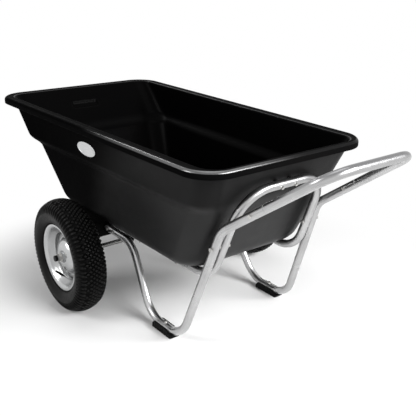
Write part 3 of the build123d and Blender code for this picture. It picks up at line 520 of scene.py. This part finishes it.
def tub_surface():
    """Outline of each row, carried from the wall to the lip by the row's share, with the slot pressed in."""
    z, lip, inset, share = tub_rows.T
    lift = np.where(inside, WALL * np.clip((640 - z) / 60, 0, 1), 0.0)
    corners, radius = wall_corners(np.minimum(z, LIP_Z) - lift)
    corners = corners * (1 - lip)[:, None, None] + LIP_CORNERS * lip[:, None, None]
    radius = radius * (1 - lip)[:, None] + LIP_CORNER * lip[:, None]
    flat = round_outline(corners, radius, inset, 20, (44, 40, 44, 120))
    flat = TUB_MIDDLE + (flat - TUB_MIDDLE) * share[:, None, None]
    grid = np.concatenate([flat, np.broadcast_to(z[:, None, None], (*flat.shape[:2], 1))], axis=2)
    at_front = (grid[..., 0] < -480) & (np.abs(grid[..., 1]) < 150) & (lip[:, None] == 0)
    along, across = grid[..., 1] - SLOT_Y, grid[..., 2] - SLOT_Z
    slot = soft_box(along, SLOT_HALF, 10) * soft_box(across, SLOT_TALL, 9) * at_front
    return grid + SLOT_DEPTH * slot[..., None] * SLOT_WAY


tub_grid = here(tub_surface())
up_the_wall = lengths_along(tub_grid, 0, False)
lip_starts = float(up_the_wall[inside.sum()])
roll_starts = float(up_the_wall[inside.sum() + len(quarter) + 3])
print("way up from the middle of the floor:", round(lip_starts, 3), "m to the lip,",
      round(roll_starts, 3), "m to its outer roll")

# %% [markdown]
# ## Black polyethylene
# The tub is moulded from black polyethylene. The skin is satin outside, with a very fine pebble and faint
# clouds, and duller inside. The left wall is dullest towards the nose, and the upper band is duller than
# the wall below. Its colour holds painted light and shade: the outer skin is painted a lighter grey
# towards the rear and on the nose and right side, while the inside stays black as painted shade. The lip
# has a top and skirt painted black, the skirt as a painted shadow line under the roll, a thin line of
# light at its inner edge, and a painted highlight on its outer roll: shinier, smoother and painted a
# lighter grey, strongest towards the left rear corner. A material for each of these would
# leave hard seams, so the UV map tells them apart: it holds the way up from the middle of the floor.

# %% Tub finish
INNER_EDGE = (lip_starts + 0.006, lip_starts + 0.011)
TOP_AND_SKIRT = (lip_starts + 0.009, roll_starts + 0.036)
# The band of the outer roll below carries a painted highlight.
HIGHLIGHT_ROLL = (roll_starts + 0.003, roll_starts + 0.015)
# The second pair of rises sets where the outer skin's painted lighter grey comes in towards the rear.
SHINE_RISES, PAINTED_LIGHT_RISES = (-0.46, 0.22), (-0.85, 0.24)
STEP_HEIGHTS, HIGHLIGHT_FADES = (0.495, 0.525), (-0.34, 0.06)


def tub_plastic():
    """Satin black skin whose shine, roughness and tone follow the place on the tub; the tone holds painted light,
    painted shade and a painted highlight on the lip's outer roll.
    """
    made, tree, shader = finish("black_polyethylene")
    where = coordinates(tree, "Object")
    climbed = measure(tree, coordinates(tree, "UV"), "DOT_PRODUCT", (1, 0, 0))
    rearward = measure(tree, where, "DOT_PRODUCT", (1, 0, -BACK_SLOPE))
    turned = measure(tree, coordinates(tree, "Normal"), "DOT_PRODUCT", (-0.6, 0.8, 0))
    nose_or_right = between(tree, turned, 0.0, 1.0, (0.1, 0.5))
    outside = between(tree, climbed, 0.0, 1.0, (lip_starts, lip_starts + 0.012))

    def band(starts, ends):
        """1 between two places on the way up the wall, with edges 2 mm wide."""
        rise = between(tree, climbed, 0.0, 1.0, (starts, starts + 0.002))
        return between(tree, climbed, rise, 0.0, (ends - 0.002, ends))

    on_edge, on_lip, on_roll = (band(*ends) for ends in (INNER_EDGE, TOP_AND_SKIRT, HIGHLIGHT_ROLL))
    height = measure(tree, where, "DOT_PRODUCT", (0, 0, 1))
    backs = between(tree, rearward, nose_or_right, 1.0, SHINE_RISES)
    lower, upper = (between(tree, backs, 0.001, most) for most in (0.24, 0.08))
    sideways = measure(tree, where, "DOT_PRODUCT", (0, 1, 0))
    # Painted highlight on the lip's outer roll: strongest along the rear of the left side and round the left rear
    # corner, fading towards the right.
    highlight_share = between(tree, sideways, between(tree, rearward, 0.0, 1.0, SHINE_RISES), 0.08, HIGHLIGHT_FADES)
    highlight_shine = between(tree, highlight_share, 0.001, 0.90)
    shine = between(tree, outside, 0.012, between(tree, height, lower, upper, STEP_HEIGHTS))
    shine = between(tree, on_edge, between(tree, on_lip, shine, 0.002), 0.30)
    tree.links.new(between(tree, on_roll, shine, highlight_shine), shader.inputs["Specular IOR Level"])
    skin = between(tree, outside, 0.30, grain(tree, where, 30.0, 0.40, 0.47))
    tree.links.new(between(tree, on_roll, skin, 0.20), shader.inputs["Roughness"])
    cloud = grain(tree, where, 4.0, 0.0, 1.0)
    black = mixed(tree, cloud, (0.0008, 0.0008, 0.0009), (0.0012, 0.0011, 0.0011))
    # Painted light: this lighter grey is painted on the outer skin towards the rear and on faces turned to the
    # nose and right side, while the inside stays black as painted shade.
    painted_light_grey = mixed(tree, cloud, (0.0060, 0.0060, 0.0062), (0.0074, 0.0072, 0.0072))
    painted_light_share = between(tree, rearward, nose_or_right, 1.0, PAINTED_LIGHT_RISES)
    tone = mixed(tree, between(tree, outside, 0.0, painted_light_share), black, painted_light_grey)
    # Painted shade: the lip's top and skirt are painted black, the skirt as a painted shadow line under the outer
    # roll.
    tone = mixed(tree, between(tree, on_lip, 0.0, 0.6), tone, black)
    # Painted highlight: where it runs, the outer roll is painted a lighter grey, as well as made shinier and
    # smoother.
    tone = mixed(tree, between(tree, on_roll, 0.0, highlight_share), tone, (0.055, 0.055, 0.056))
    tree.links.new(tone, shader.inputs["Base Color"])
    relief(tree, shader, grain(tree, where, 700.0, 0.0, 1.0, detail=2.0), 0.00006)
    return made


TUB_PLASTIC = tub_plastic()
piece("tub_shell", sheet_mesh("tub_shell", tub_grid, closed_columns=True, crease=60),
      "frame", TUB_PLASTIC, "tub_plastic", "tub")

# %% [markdown]
# ## Bright aluminium tube
# The frame is drawn aluminium tube. The die leaves fine lines along its length, handling leaves cloudy
# patches, and the upper side of the handle is painted darker, a painted dark reflection. The surface is
# bright rather than polished. The lines have to follow the bends, so the tubes carry a UV map with the
# distance along the tube and round it, and the noise is stretched along it.

# %% Tube finish
def drawn_aluminium():
    """Bright metal with lines along the tube, cloudy patches and a painted dark reflection on the handle's upper
    side.
    """
    made, tree, shader = finish("drawn_aluminium", Metallic=1.0)
    lines = coordinates(tree, "UV", (6.0, 420.0, 1.0))
    patch = coordinates(tree, "UV", (9.0, 14.0, 1.0))
    streak = grain(tree, lines, 1.0, 0.0, 1.0, detail=3.0)
    cloud = grain(tree, patch, 1.0, 0.0, 1.0, detail=5.0)
    tone = mixed(tree, streak, (0.335, 0.335, 0.337), (0.53, 0.53, 0.532))
    tone = mixed(tree, cloud, tone, (0.55, 0.55, 0.552))
    upward = measure(tree, coordinates(tree, "Normal"), "DOT_PRODUCT", (0, 0, 1))
    height = measure(tree, coordinates(tree, "Object"), "DOT_PRODUCT", (0, 0, 1))
    # Painted dark reflection: upward-facing sides high on the frame, which is the handle, are darkened towards a
    # dark grey.
    dark_top_by_height = between(tree, height, 0.0, 0.70, (0.42, 0.66))
    painted_dark_top = between(tree, upward, 0.0, dark_top_by_height, (-0.1, 0.7))
    tree.links.new(mixed(tree, painted_dark_top, tone, (0.12, 0.12, 0.125)), shader.inputs["Base Color"])
    tree.links.new(grain(tree, patch, 2.3, 0.25, 0.35), shader.inputs["Roughness"])
    relief(tree, shader, streak, 0.00004)
    return made


TUBE_ALUMINIUM = drawn_aluminium()
print("finish:", TUBE_ALUMINIUM.name)

# %% [markdown]
# ## Bent tubes
# A tube bender makes straight runs joined by arcs. A curve object with a bevel would do it, but its bends
# would only be near the real radius. Here the line is exact: each corner of the route is replaced by an
# arc tangent to both runs, and a circle is carried along the line.

# %% Line and skin of a bent tube
TUBE_R = 13.6


def bent_line(corners, bends):
    """Points and directions along straight runs whose corners are arcs: from the tangent point, a point
    of the arc is radius * (sin a along the first run + (1 - cos a) towards the inside)."""
    corners = np.asarray(corners, float)
    runs = np.diff(corners, axis=0)
    runs /= np.linalg.norm(runs, axis=1, keepdims=True)
    starts, points, ways = corners[0], [], []
    for corner, first, second, bend in zip(corners[1:-1], runs[:-1], runs[1:], bends):
        turn = math.acos(float(first @ second))
        inward = (second - math.cos(turn) * first) / math.sin(turn)
        enter = corner - bend * math.tan(turn / 2) * first
        straight(points, ways, starts, enter, first)
        a = np.linspace(0, turn, max(6, int(bend * turn / 4)))[:, None]
        points.append(enter + bend * (np.sin(a) * first + (1 - np.cos(a)) * inward))
        ways.append(np.cos(a) * first + np.sin(a) * inward)
        starts = points[-1][-1]
    straight(points, ways, starts, corners[-1], runs[-1])
    points, ways = np.concatenate(points), np.concatenate(ways)
    fresh = np.concatenate([[True], np.linalg.norm(np.diff(points, axis=0), axis=1) > 1e-4])
    return points[fresh], ways[fresh]


def straight(points, ways, start, end, way):
    """Evenly spaced points of a straight run, about 20 mm apart."""
    t = np.linspace(0, 1, 2 + int(np.linalg.norm(end - start) / 20))[:, None]
    points.append(start + (end - start) * t)
    ways.append(np.broadcast_to(way, (len(t), 3)))


def tube_skin(points, ways, beside, radius=TUBE_R, break_edge=0.9, around=40):
    """Circle carried along a line: centre + radius * (cos b * side + sin b * up). The ends are closed flat
    with a broken edge. The side is the given direction, made square to the line."""
    first, last = points[0] + ways[0] * break_edge, points[-1] - ways[-1] * break_edge
    points = np.concatenate([points[:1], points[:1], [first], points[1:-1], [last], points[-1:], points[-1:]])
    ways = np.concatenate([ways[:1], ways[:1], ways[:1], ways[1:-1], ways[-1:], ways[-1:], ways[-1:]])
    radii = np.full(len(points), radius)
    radii[[0, -1]] = 0.0
    radii[[1, -2]] = radius - break_edge
    side = beside - (ways @ beside)[:, None] * ways
    side /= np.linalg.norm(side, axis=1, keepdims=True)
    up = np.cross(ways, side)
    b = np.linspace(0, 2 * np.pi, around, endpoint=False)[None, :, None]
    return points[:, None] + radii[:, None, None] * (np.cos(b) * side[:, None] + np.sin(b) * up[:, None])


print("tube helpers ready")

# %% [markdown]
# ### The frame's routes
# Each leg tube starts in front of the axle, drops to the foot, rises as the rear leg and bends back into
# the handle rail. The cradle runs under both edges of the floor, turns up behind the tub and crosses
# over. The handle closes the two rails. The rails draw together towards the grip.

# %% Legs, handle and cradle
LEG_Y, FOOT_Y, FOOT_Z = 218.3, 235.0, 18.9
HIP, GRIP = np.array([580.7, 200.0, 434.6]), np.array([945.3, 162.6, 692.1])


def rail_place(side, distance):
    """Place on a handle rail, measured from the hip bend."""
    x, y, z = HIP + (GRIP - HIP) * distance / np.linalg.norm(GRIP - HIP)
    return (x, side * y, z)


for name, side in SIDES.items():
    y = side * LEG_Y
    foot = side * FOOT_Y
    route = [(-57, y, 238), (110.4, y, 238), (254, foot, FOOT_Z), (430, foot, FOOT_Z),
             (HIP[0], side * HIP[1], HIP[2]), rail_place(side, 200)]
    skin = tube_skin(*bent_line(route, (100, 106, 100, 94)), np.array([0.0, 1.0, 0.0]))
    piece(f"{name}_leg", sheet_mesh(f"{name}_leg", here(skin), closed_columns=True),
          "frame", TUBE_ALUMINIUM, "tube_aluminium", f"{name}_leg_tube")

route = [rail_place(-1, 200.3), GRIP * (1, -1, 1), GRIP, rail_place(1, 200.3)]
square_to_loop = np.array([GRIP[2] - HIP[2], 0.0, HIP[0] - GRIP[0]])
skin = tube_skin(*bent_line(route, (82, 82)), square_to_loop / np.linalg.norm(square_to_loop))
piece("handle", sheet_mesh("handle", here(skin), closed_columns=True),
      "frame", TUBE_ALUMINIUM, "tube_aluminium", "handle_loop")

CROSS_Z, CROSS_GAP = 555.0, 8.0
cross_x = rear_at(CROSS_Z) + (TUBE_R + CROSS_GAP) / math.cos(BACK_LEAN)
half_route = np.array([(-57, 190.8, 250), (512, 178.5, 250), (cross_x, 164, CROSS_Z)])
route = np.concatenate([half_route * (1, -1, 1), half_route[::-1]])
skin = tube_skin(*bent_line(route, (115, 108, 108, 115)), np.array([-0.8, 0.0, 0.6]))
piece("cradle", sheet_mesh("cradle", here(skin), closed_columns=True),
      "frame", TUBE_ALUMINIUM, "tube_aluminium", "cradle_tube")

# %% [markdown]
# ## Tyre rubber
# Tyre rubber is almost black and dull. The flanks are smoother than the tread and a lighter grey, partly
# dust and partly a painted reflection of the floor, and the mould leaves a fine skin. The distance from
# the axle tells flank from tread, and the tops of the tread blocks, which shine more than the grooves, lie
# on the arc of the crown. The grooves are painted darker than the block tops, as painted shade.

# %% Tyre finish
CROWN_CENTRE = (0.1257, TYRE_MIDDLE / 1000, 0)


def from_ring(tree, where, radius):
    """Distance from the ring about which the crown's arc turns: the block tops are the arc's radius away."""
    sideways = tree.nodes.new("ShaderNodeMath")
    sideways.operation = "ABSOLUTE"
    tree.links.new(measure(tree, where, "DOT_PRODUCT", (0, 1, 0)), sideways.inputs[0])
    pair = tree.nodes.new("ShaderNodeCombineXYZ")
    tree.links.new(radius, pair.inputs[0])
    tree.links.new(sideways.outputs[0], pair.inputs[1])
    return measure(tree, pair.outputs[0], "DISTANCE", CROWN_CENTRE)


def tyre_rubber():
    """Dull black rubber: flank, grooves and block tops each have their own tone and shine; the flank's lighter
    tone is partly painted reflection and the grooves' darker tone is painted shade.
    """
    made, tree, shader = finish("ribbed_rubber")
    where = coordinates(tree, "Object")
    radius = from_axle(tree, where)
    on_tread = between(tree, radius, 0.0, 1.0, (0.155, 0.178))
    on_top = between(tree, from_ring(tree, where, radius), 0.0, 1.0, (0.0705, 0.0738))
    dust_and_sheen = grain(tree, where, 9.0, 0.0, 1.0, detail=6.0)
    # Dust and painted sheen: block tops and flanks are lighter where this noise is high. The grooves keep the
    # darkest tone as painted shade, and the flank's lift is partly a painted reflection of the floor.
    top = mixed(tree, dust_and_sheen, (0.0024, 0.0024, 0.0023), (0.0050, 0.0048, 0.0047))
    tread = mixed(tree, on_top, (0.0024, 0.0024, 0.0024), top)
    flank = mixed(tree, dust_and_sheen, (0.0030, 0.0030, 0.0029), (0.0074, 0.0072, 0.0070))
    tree.links.new(mixed(tree, on_tread, flank, tread), shader.inputs["Base Color"])
    tread_shine = between(tree, on_top, 0.03, 0.09)
    tree.links.new(between(tree, on_tread, 0.08, tread_shine), shader.inputs["Specular IOR Level"])
    tree.links.new(grain(tree, where, 60.0, 0.34, 0.48), shader.inputs["Roughness"])
    relief(tree, shader, grain(tree, where, 900.0, 0.0, 1.0, detail=2.0), 0.00008)
    return made


TYRE_RUBBER = tyre_rubber()
print("finish:", TYRE_RUBBER.name)

# %% [markdown]
# ## The tyres
# The tyre's outline is three arcs: two flanks and a crown. Its tread is a net of small diamond blocks, with
# ribs that run over the shoulders. Modelling each block would take hours. A height pattern
# is simpler: two sets of slanting grooves cross to leave diamonds, and the surface is lowered there.
# The blocks' tops stay on the tyre's true outline.

# %% Tyre shape
LUGS = 78
CROWN_DEPTH, RIB_DEPTH, NOTCH_DEPTH = 5.0, 4.0, 4.5


def arc_through(a, b, c, count):
    """Points of the circle arc from a over b to c: turn about the point equally far from all three."""
    a, b, c = (complex(*p) for p in (a, b, c))
    w = (c - a) / (b - a)
    middle = (b - a) * (w - abs(w) ** 2) / (2j * w.imag) + a
    sweep = np.angle((c - middle) / (a - middle))
    if np.angle((b - middle) / (a - middle)) * sweep < 0:
        sweep -= math.copysign(2 * np.pi, sweep)
    z = middle + (a - middle) * np.exp(1j * sweep * np.linspace(0, 1, count))
    return np.column_stack([z.real, z.imag])


def groove_depth(side, turn, reach, radius):
    """Depth below the block tops: slanting grooves on the crown, a wide notch across each shoulder at every
    second block, in turn on the two sides, and radial ribs down the flanks."""
    step = turn * LUGS / (2 * np.pi)
    net = np.minimum(*[np.abs((step + sign * reach / 19.0) % 1.0 - 0.5) for sign in (1, -1)])
    crown = CROWN_DEPTH * (1 - np.clip((net - 0.09) / 0.12, 0, 1)) * (np.abs(reach) < 41)
    on_flank = soft_box(radius - 174, 14, 6) * (np.abs(reach) >= 38)
    ribs = RIB_DEPTH * np.clip(1.6 - np.abs(step % 1.0 - 0.5) * 5, 0, 1) * on_flank
    off = np.abs((step / 2 - np.where(side * reach > 0, 0.25, 0.75) + 0.5) % 1.0 - 0.5)
    notch = NOTCH_DEPTH * (1 - np.clip((off - 0.12) / 0.05, 0, 1)) * (np.abs(reach) > 19) * (radius > 181)
    return np.maximum(np.maximum(crown, ribs), notch)


def tyre_surface(side):
    """Profile turned about the axle, lowered along its normals by the tread's grooves."""
    flank = arc_through((36.8, 118.3), (53.5, 150.0), (42.0, 187.0), 34)
    crown = arc_through((42.0, 187.0), (0.0, TYRE_R), (-42.0, 187.0), 46)
    profile = np.concatenate([[(33.2, 108.0)], flank, crown[1:-1], flank[::-1] * (-1, 1), [(-33.2, 108.0)]])
    along = np.gradient(profile, axis=0)
    along /= np.linalg.norm(along, axis=1, keepdims=True)
    normal = np.column_stack([along[:, 1], -along[:, 0]])
    reach = profile[:, 0]
    turn = np.linspace(0, 2 * np.pi, LUGS * 10, endpoint=False)[:, None]
    depth = groove_depth(side, turn, reach[None, :], profile[None, :, 1])
    across = profile[None, :, 0] - depth * normal[None, :, 0]
    radius = profile[None, :, 1] - depth * normal[None, :, 1]
    y = side * (TYRE_MIDDLE + across)
    return np.stack([radius * np.cos(turn), y, TYRE_R + radius * np.sin(turn)], -1)


for name, side in SIDES.items():
    grid = here(tyre_surface(side))
    piece(f"{name}_tyre_tread", sheet_mesh(f"{name}_tyre_tread", grid, closed_rows=True, crease=50),
          f"{name}_wheel", TYRE_RUBBER, "tyre_rubber", f"{name}_tyre")

# %% [markdown]
# ## Zinc on steel
# The wheels are pressed steel with a bright zinc coat. Zinc is a little blue, a little cloudy, and its
# small crystals scatter the light unevenly. A Voronoi texture gives each crystal its own
# roughness, and a slow noise gives the clouds. On the wheels, the groove at the foot of the dome and the
# dished bowl are painted darker, as painted shade.

# %% Zinc finishes
def zinc_coat(name, dark, light, crystal, low, high, rings=()):
    """Bright zinc: tone by slow noise, roughness by small crystals, faint relief. Rings about the axle, each
    given by the radii where it starts and ends, are painted darker as shade."""
    made, tree, shader = finish(name, Metallic=1.0)
    where = coordinates(tree, "Object")
    cloud = grain(tree, where, 14.0, 0.0, 1.0, detail=6.0)
    tone = mixed(tree, cloud, dark, light)
    for starts, ends, share in rings:
        radius = from_axle(tree, where)
        rise = between(tree, radius, 0.0, share, (starts, starts + 0.004))
        ring_shade = between(tree, radius, rise, 0.0, (ends - 0.004, ends))
        # Painted shade: the ring's tone is darkened towards a dark grey.
        tone = mixed(tree, ring_shade, tone, (0.10, 0.10, 0.10))
    tree.links.new(tone, shader.inputs["Base Color"])
    cells = tree.nodes.new("ShaderNodeTexVoronoi")
    cells.inputs["Scale"].default_value = crystal
    tree.links.new(where, cells.inputs["Vector"])
    rough = tree.nodes.new("ShaderNodeMapRange")
    rough.inputs["To Min"].default_value = low
    rough.inputs["To Max"].default_value = high
    tree.links.new(cells.outputs["Color"], rough.inputs["Value"])
    tree.links.new(rough.outputs[0], shader.inputs["Roughness"])
    relief(tree, shader, grain(tree, where, 160.0, 0.0, 1.0), 0.00003)
    return made


# Painted shade: the groove at the dome's foot and the dished bowl of the wheels are painted darker.
PAINTED_SHADE_RINGS = ((0.058, 0.067, 0.60), (0.067, 0.104, 0.30))
WHEEL_ZINC = zinc_coat("wheel_zinc", (0.44, 0.445, 0.45), (0.53, 0.535, 0.535), 900.0, 0.20, 0.27, PAINTED_SHADE_RINGS)
BOLT_ZINC = zinc_coat("bolt_zinc", (0.45, 0.45, 0.44), (0.62, 0.61, 0.59), 900.0, 0.22, 0.38)
print("finishes:", WHEEL_ZINC.name, BOLT_ZINC.name)

# %% [markdown]
# ## Pressed wheels
# A wheel is two pressings: the rim, a rolled channel that holds the tyre, and the dished disc that joins it
# to the hub. Both are turned shapes, so a profile of distance from the wheel's middle and radius is
# spun about the axle. The press rounds every corner, and here a profile's corners are cut by
# replacing each with points along its two sides, twice over.

# %% Rim and disc
def eased(profile, rounds=2, cut=0.25):
    """Closed profile with its corners cut: each corner gives way to a point on each of its two sides."""
    profile = np.asarray(profile, float)
    for _ in range(rounds):
        ahead = np.roll(profile, -1, axis=0)
        both = np.stack([profile * (1 - cut) + ahead * cut, profile * cut + ahead * (1 - cut)], 1)
        profile = both.reshape(-1, 2)
    return profile


def spun(side, profile, count=144):
    """Profile of (distance out from the wheel's middle, radius) turned about the axle."""
    turn = np.linspace(0, 2 * np.pi, count, endpoint=False)[:, None]
    out, radius = profile[None, :, 0], profile[None, :, 1]
    y = np.broadcast_to(side * (TYRE_MIDDLE + out), (count, profile.shape[0]))
    return np.stack([radius * np.cos(turn), y, TYRE_R + radius * np.sin(turn)], -1)


RIM_THICK = 2.2
DOME_FOOT_R, DOME_TOP_R, DOME_FOOT, DOME_RISE = 61.0, 27.0, 4.0, 22.0

shown = np.array([(37.7, 118.0), (39.3, 118.0), (39.7, 116.8), (39.5, 113.0), (38.2, 109.0), (35.8, 105.2),
                  (32.0, 101.8), (27.0, 98.2), (22.0, 93.5), (17.5, 87.5), (13.0, 81.4)])
along_rim = np.gradient(shown, axis=0)
along_rim /= np.linalg.norm(along_rim, axis=1, keepdims=True)
hidden = (shown + RIM_THICK * np.column_stack([along_rim[:, 1], -along_rim[:, 0]]))[2:]
rim_profile = np.concatenate([hidden[::-1], shown, shown[::-1] * (-1, 1), hidden * (-1, 1)])
dome_r = np.linspace(DOME_FOOT_R, DOME_TOP_R, 14)
dome_s = DOME_FOOT + DOME_RISE * np.sqrt(1 - ((dome_r - DOME_TOP_R) / (DOME_FOOT_R - DOME_TOP_R)) ** 2)
face = [(-8.0, 81.0), (3.0, 81.0), (4.0, 80.0), (4.0, 67.0), (2.6, 65.5), (2.6, 63.5), (4.4, 62.0)]
dome = np.column_stack([dome_s, dome_r])[1:]
behind = [(26.0, 20.6), (23.4, 20.6), (23.4, 26.0), (15.0, 45.0), (1.4, 59.0), (1.4, 78.4), (-8.0, 78.4)]
disc_profile = np.concatenate([face, dome, behind])
PRESSINGS = (("rim_pressing", rim_profile, "rim"), ("disc_pressing", disc_profile, "wheel_disc"))

for name, side in SIDES.items():
    for part, profile, node in PRESSINGS:
        grid = here(spun(side, eased(profile)))
        mesh = sheet_mesh(f"{name}_{part}", grid, closed_rows=True, closed_columns=True, crease=35)
        piece(f"{name}_{part}", mesh, f"{name}_wheel", WHEEL_ZINC, "wheel_steel", f"{name}_{node}")

# %% [markdown]
# ## The badge plate
# A small oval plate is fixed to the left wall. It is left blank here: a shallow dish with a raised border,
# in satin metal. It is a surface of two parameters, the turn round the oval and the way in
# from its edge.

# %% Badge
def badge_metal():
    """Satin metal with fine level brush marks."""
    made, tree, shader = finish("satin_plate", Metallic=1.0)
    where = coordinates(tree, "Object", (30.0, 30.0, 900.0))
    brush = grain(tree, where, 1.0, 0.0, 1.0)
    tree.links.new(mixed(tree, brush, (0.52, 0.53, 0.54), (0.66, 0.66, 0.66)), shader.inputs["Base Color"])
    tree.links.new(grain(tree, where, 0.7, 0.30, 0.44), shader.inputs["Roughness"])
    relief(tree, shader, brush, 0.00003)
    return made


def badge_surface(centre, along, rise, out):
    """Oval of 59 by 24 mm half axes: the share of the radius gives a raised border and a shallow dish."""
    share = np.array([1.0, 1.0, 0.985, 0.93, 0.90, 0.885, 0.6, 0.3, 0.0])
    height = np.array([0.0, 1.2, 1.5, 1.5, 1.4, 0.9, 1.0, 1.1, 1.15])
    turn = np.linspace(0, 2 * np.pi, 72, endpoint=False)
    flat = np.stack([59.0 * np.cos(turn), 24.0 * np.sin(turn)], 1)
    grid = centre + share[:, None, None] * (flat[:, :1] * along + flat[:, 1:] * rise)[None]
    grid = grid + height[:, None, None] * out
    return np.concatenate([np.broadcast_to(centre, grid[:1].shape), grid])


def band_half(x, z):
    """Half width of the upper band at a place on its side, straight between its lower edge and the lip."""
    low_z, high_z = LEVELS[3:5]
    reach = (x - FRONTS[2:]) / (rear_at(LEVELS[3:5]) - FRONTS[2:])
    low, high = HALF_FRONTS[2:] + (HALF_BACKS[2:] - HALF_FRONTS[2:]) * reach
    return low + (high - low) * (z - low_z) / (high_z - low_z)


BADGE_METAL = badge_metal()
BADGE_X, BADGE_Z, STEP = -22.0, 558.0, 10.0
badge_at, ahead_of_it, above_it = (
    np.array([x, -band_half(x, z), z])
    for x, z in ((BADGE_X, BADGE_Z), (BADGE_X + STEP, BADGE_Z), (BADGE_X, BADGE_Z + STEP)))
along_wall, up_wall = ahead_of_it - badge_at, above_it - badge_at
out_wall = np.cross(along_wall, up_wall)
out_wall /= np.linalg.norm(out_wall)
along_wall /= np.linalg.norm(along_wall)
grid = badge_surface(badge_at + 0.3 * out_wall, along_wall, np.cross(out_wall, along_wall), out_wall)
piece("badge", sheet_mesh("badge", here(grid), closed_columns=True),
      "frame", BADGE_METAL, "badge_metal", "badge_plate")

# %% [markdown]
# ## Black parts and turned steel
# The feet and the plugs are moulded plastic with a coarse, dull skin. The caps, valves and spacers are
# rubber. The beam and the brackets are powder coated, which leaves a fine orange peel. The axle is turned
# bar, with marks that run round it.

# %% Finishes of the smaller parts
def black_skin(name, tone, rough, peel, depth, shine):
    """Black moulded or coated skin: tone and roughness by noise, relief of a given size and depth."""
    made, tree, shader = finish(name, Specular_IOR_Level=shine)
    where = coordinates(tree, "Object")
    cloud = grain(tree, where, 40.0, 0.0, 1.0, detail=6.0)
    tree.links.new(mixed(tree, cloud, (tone,) * 3, (tone * 1.8,) * 3), shader.inputs["Base Color"])
    tree.links.new(grain(tree, where, 90.0, rough, rough + 0.16), shader.inputs["Roughness"])
    relief(tree, shader, grain(tree, where, peel, 0.0, 1.0, detail=2.0), depth)
    return made


def turned_steel(name, dark, light, low, high):
    """Bright bar with fine marks round it: noise stretched so that it changes quickly along the bar."""
    made, tree, shader = finish(name, Metallic=1.0)
    where = coordinates(tree, "Object", (8.0, 900.0, 8.0))
    marks = grain(tree, where, 1.0, 0.0, 1.0)
    tree.links.new(mixed(tree, marks, dark, light), shader.inputs["Base Color"])
    tree.links.new(grain(tree, coordinates(tree, "Object"), 50.0, low, high), shader.inputs["Roughness"])
    relief(tree, shader, marks, 0.00003)
    return made


FINISHES = {
    "tub_plastic": TUB_PLASTIC,
    "tube_aluminium": TUBE_ALUMINIUM,
    "tyre_rubber": TYRE_RUBBER,
    "wheel_steel": WHEEL_ZINC,
    "zinc_hardware": BOLT_ZINC,
    "badge_metal": BADGE_METAL,
    "tube_rubber": black_skin("inner_tube_rubber", 0.020, 0.55, 300.0, 0.00008, 0.35),
    "black_plastic": black_skin("foot_plastic", 0.004, 0.42, 500.0, 0.00015, 0.08),
    "black_rubber": black_skin("cap_rubber", 0.004, 0.40, 600.0, 0.00006, 0.12),
    "black_paint": black_skin("powder_coat", 0.003, 0.38, 350.0, 0.00010, 0.04),
    # Painted dark reflection: the axle's steel is given a dark tone, standing in for the black tub it reflects
    # along its top.
    "axle_steel": turned_steel("axle_bar", (0.16, 0.16, 0.16), (0.30, 0.30, 0.29), 0.22, 0.38),
    "bearing_steel": turned_steel("bearing_rings", (0.60, 0.60, 0.61), (0.72, 0.72, 0.73), 0.10, 0.20),
}
for row in frame["record"]["subparts"]:
    skin = nodes[row["node"]].data.materials
    skin.clear()
    skin.append(FINISHES[row["material_slot"]])
print("finishes given to", len(nodes), "nodes")

# %% [markdown]
# ## The beam's apron
# The channel under the front of the tub has an apron, a thin bare plate that runs forward from its top
# flange under the tub's floor. A cube with a bevel would do, but the tub's outline function is at hand: one
# round outline, drawn in a little at the upper and lower edge and closed in the middle.

# %% Apron
APRON_FRONT, APRON_BACK, APRON_HALF, APRON_LOW, APRON_THICK = -246.0, -102.3, 264.0, 260.6, 3.0


def apron_surface():
    """Flat plate: outline with round front corners at each height, shrunk to its middle below and above."""
    z = APRON_LOW + APRON_THICK * np.array([0.0, 0.0, 0.2, 0.8, 1.0, 1.0])
    inset = np.array([0.6, 0.6, 0.0, 0.0, 0.6, 0.6])
    share = np.array([0.0, 1.0, 1.0, 1.0, 1.0, 0.0])
    corners = np.array([(APRON_FRONT, -APRON_HALF), (APRON_BACK, -APRON_HALF),
                        (APRON_BACK, APRON_HALF), (APRON_FRONT, APRON_HALF)])
    radius = np.tile([30.0, 2.0, 2.0, 30.0], (len(z), 1))
    flat = round_outline(np.tile(corners, (len(z), 1, 1)), radius, inset, 10, (2, 8, 2, 8))
    middle = corners.mean(axis=0)
    flat = middle + (flat - middle) * share[:, None, None]
    return np.concatenate([flat, np.broadcast_to(z[:, None, None], (*flat.shape[:2], 1))], axis=2)


piece("front_apron", sheet_mesh("front_apron", here(apron_surface()), closed_columns=True),
      "frame", FINISHES["black_paint"], "black_paint")
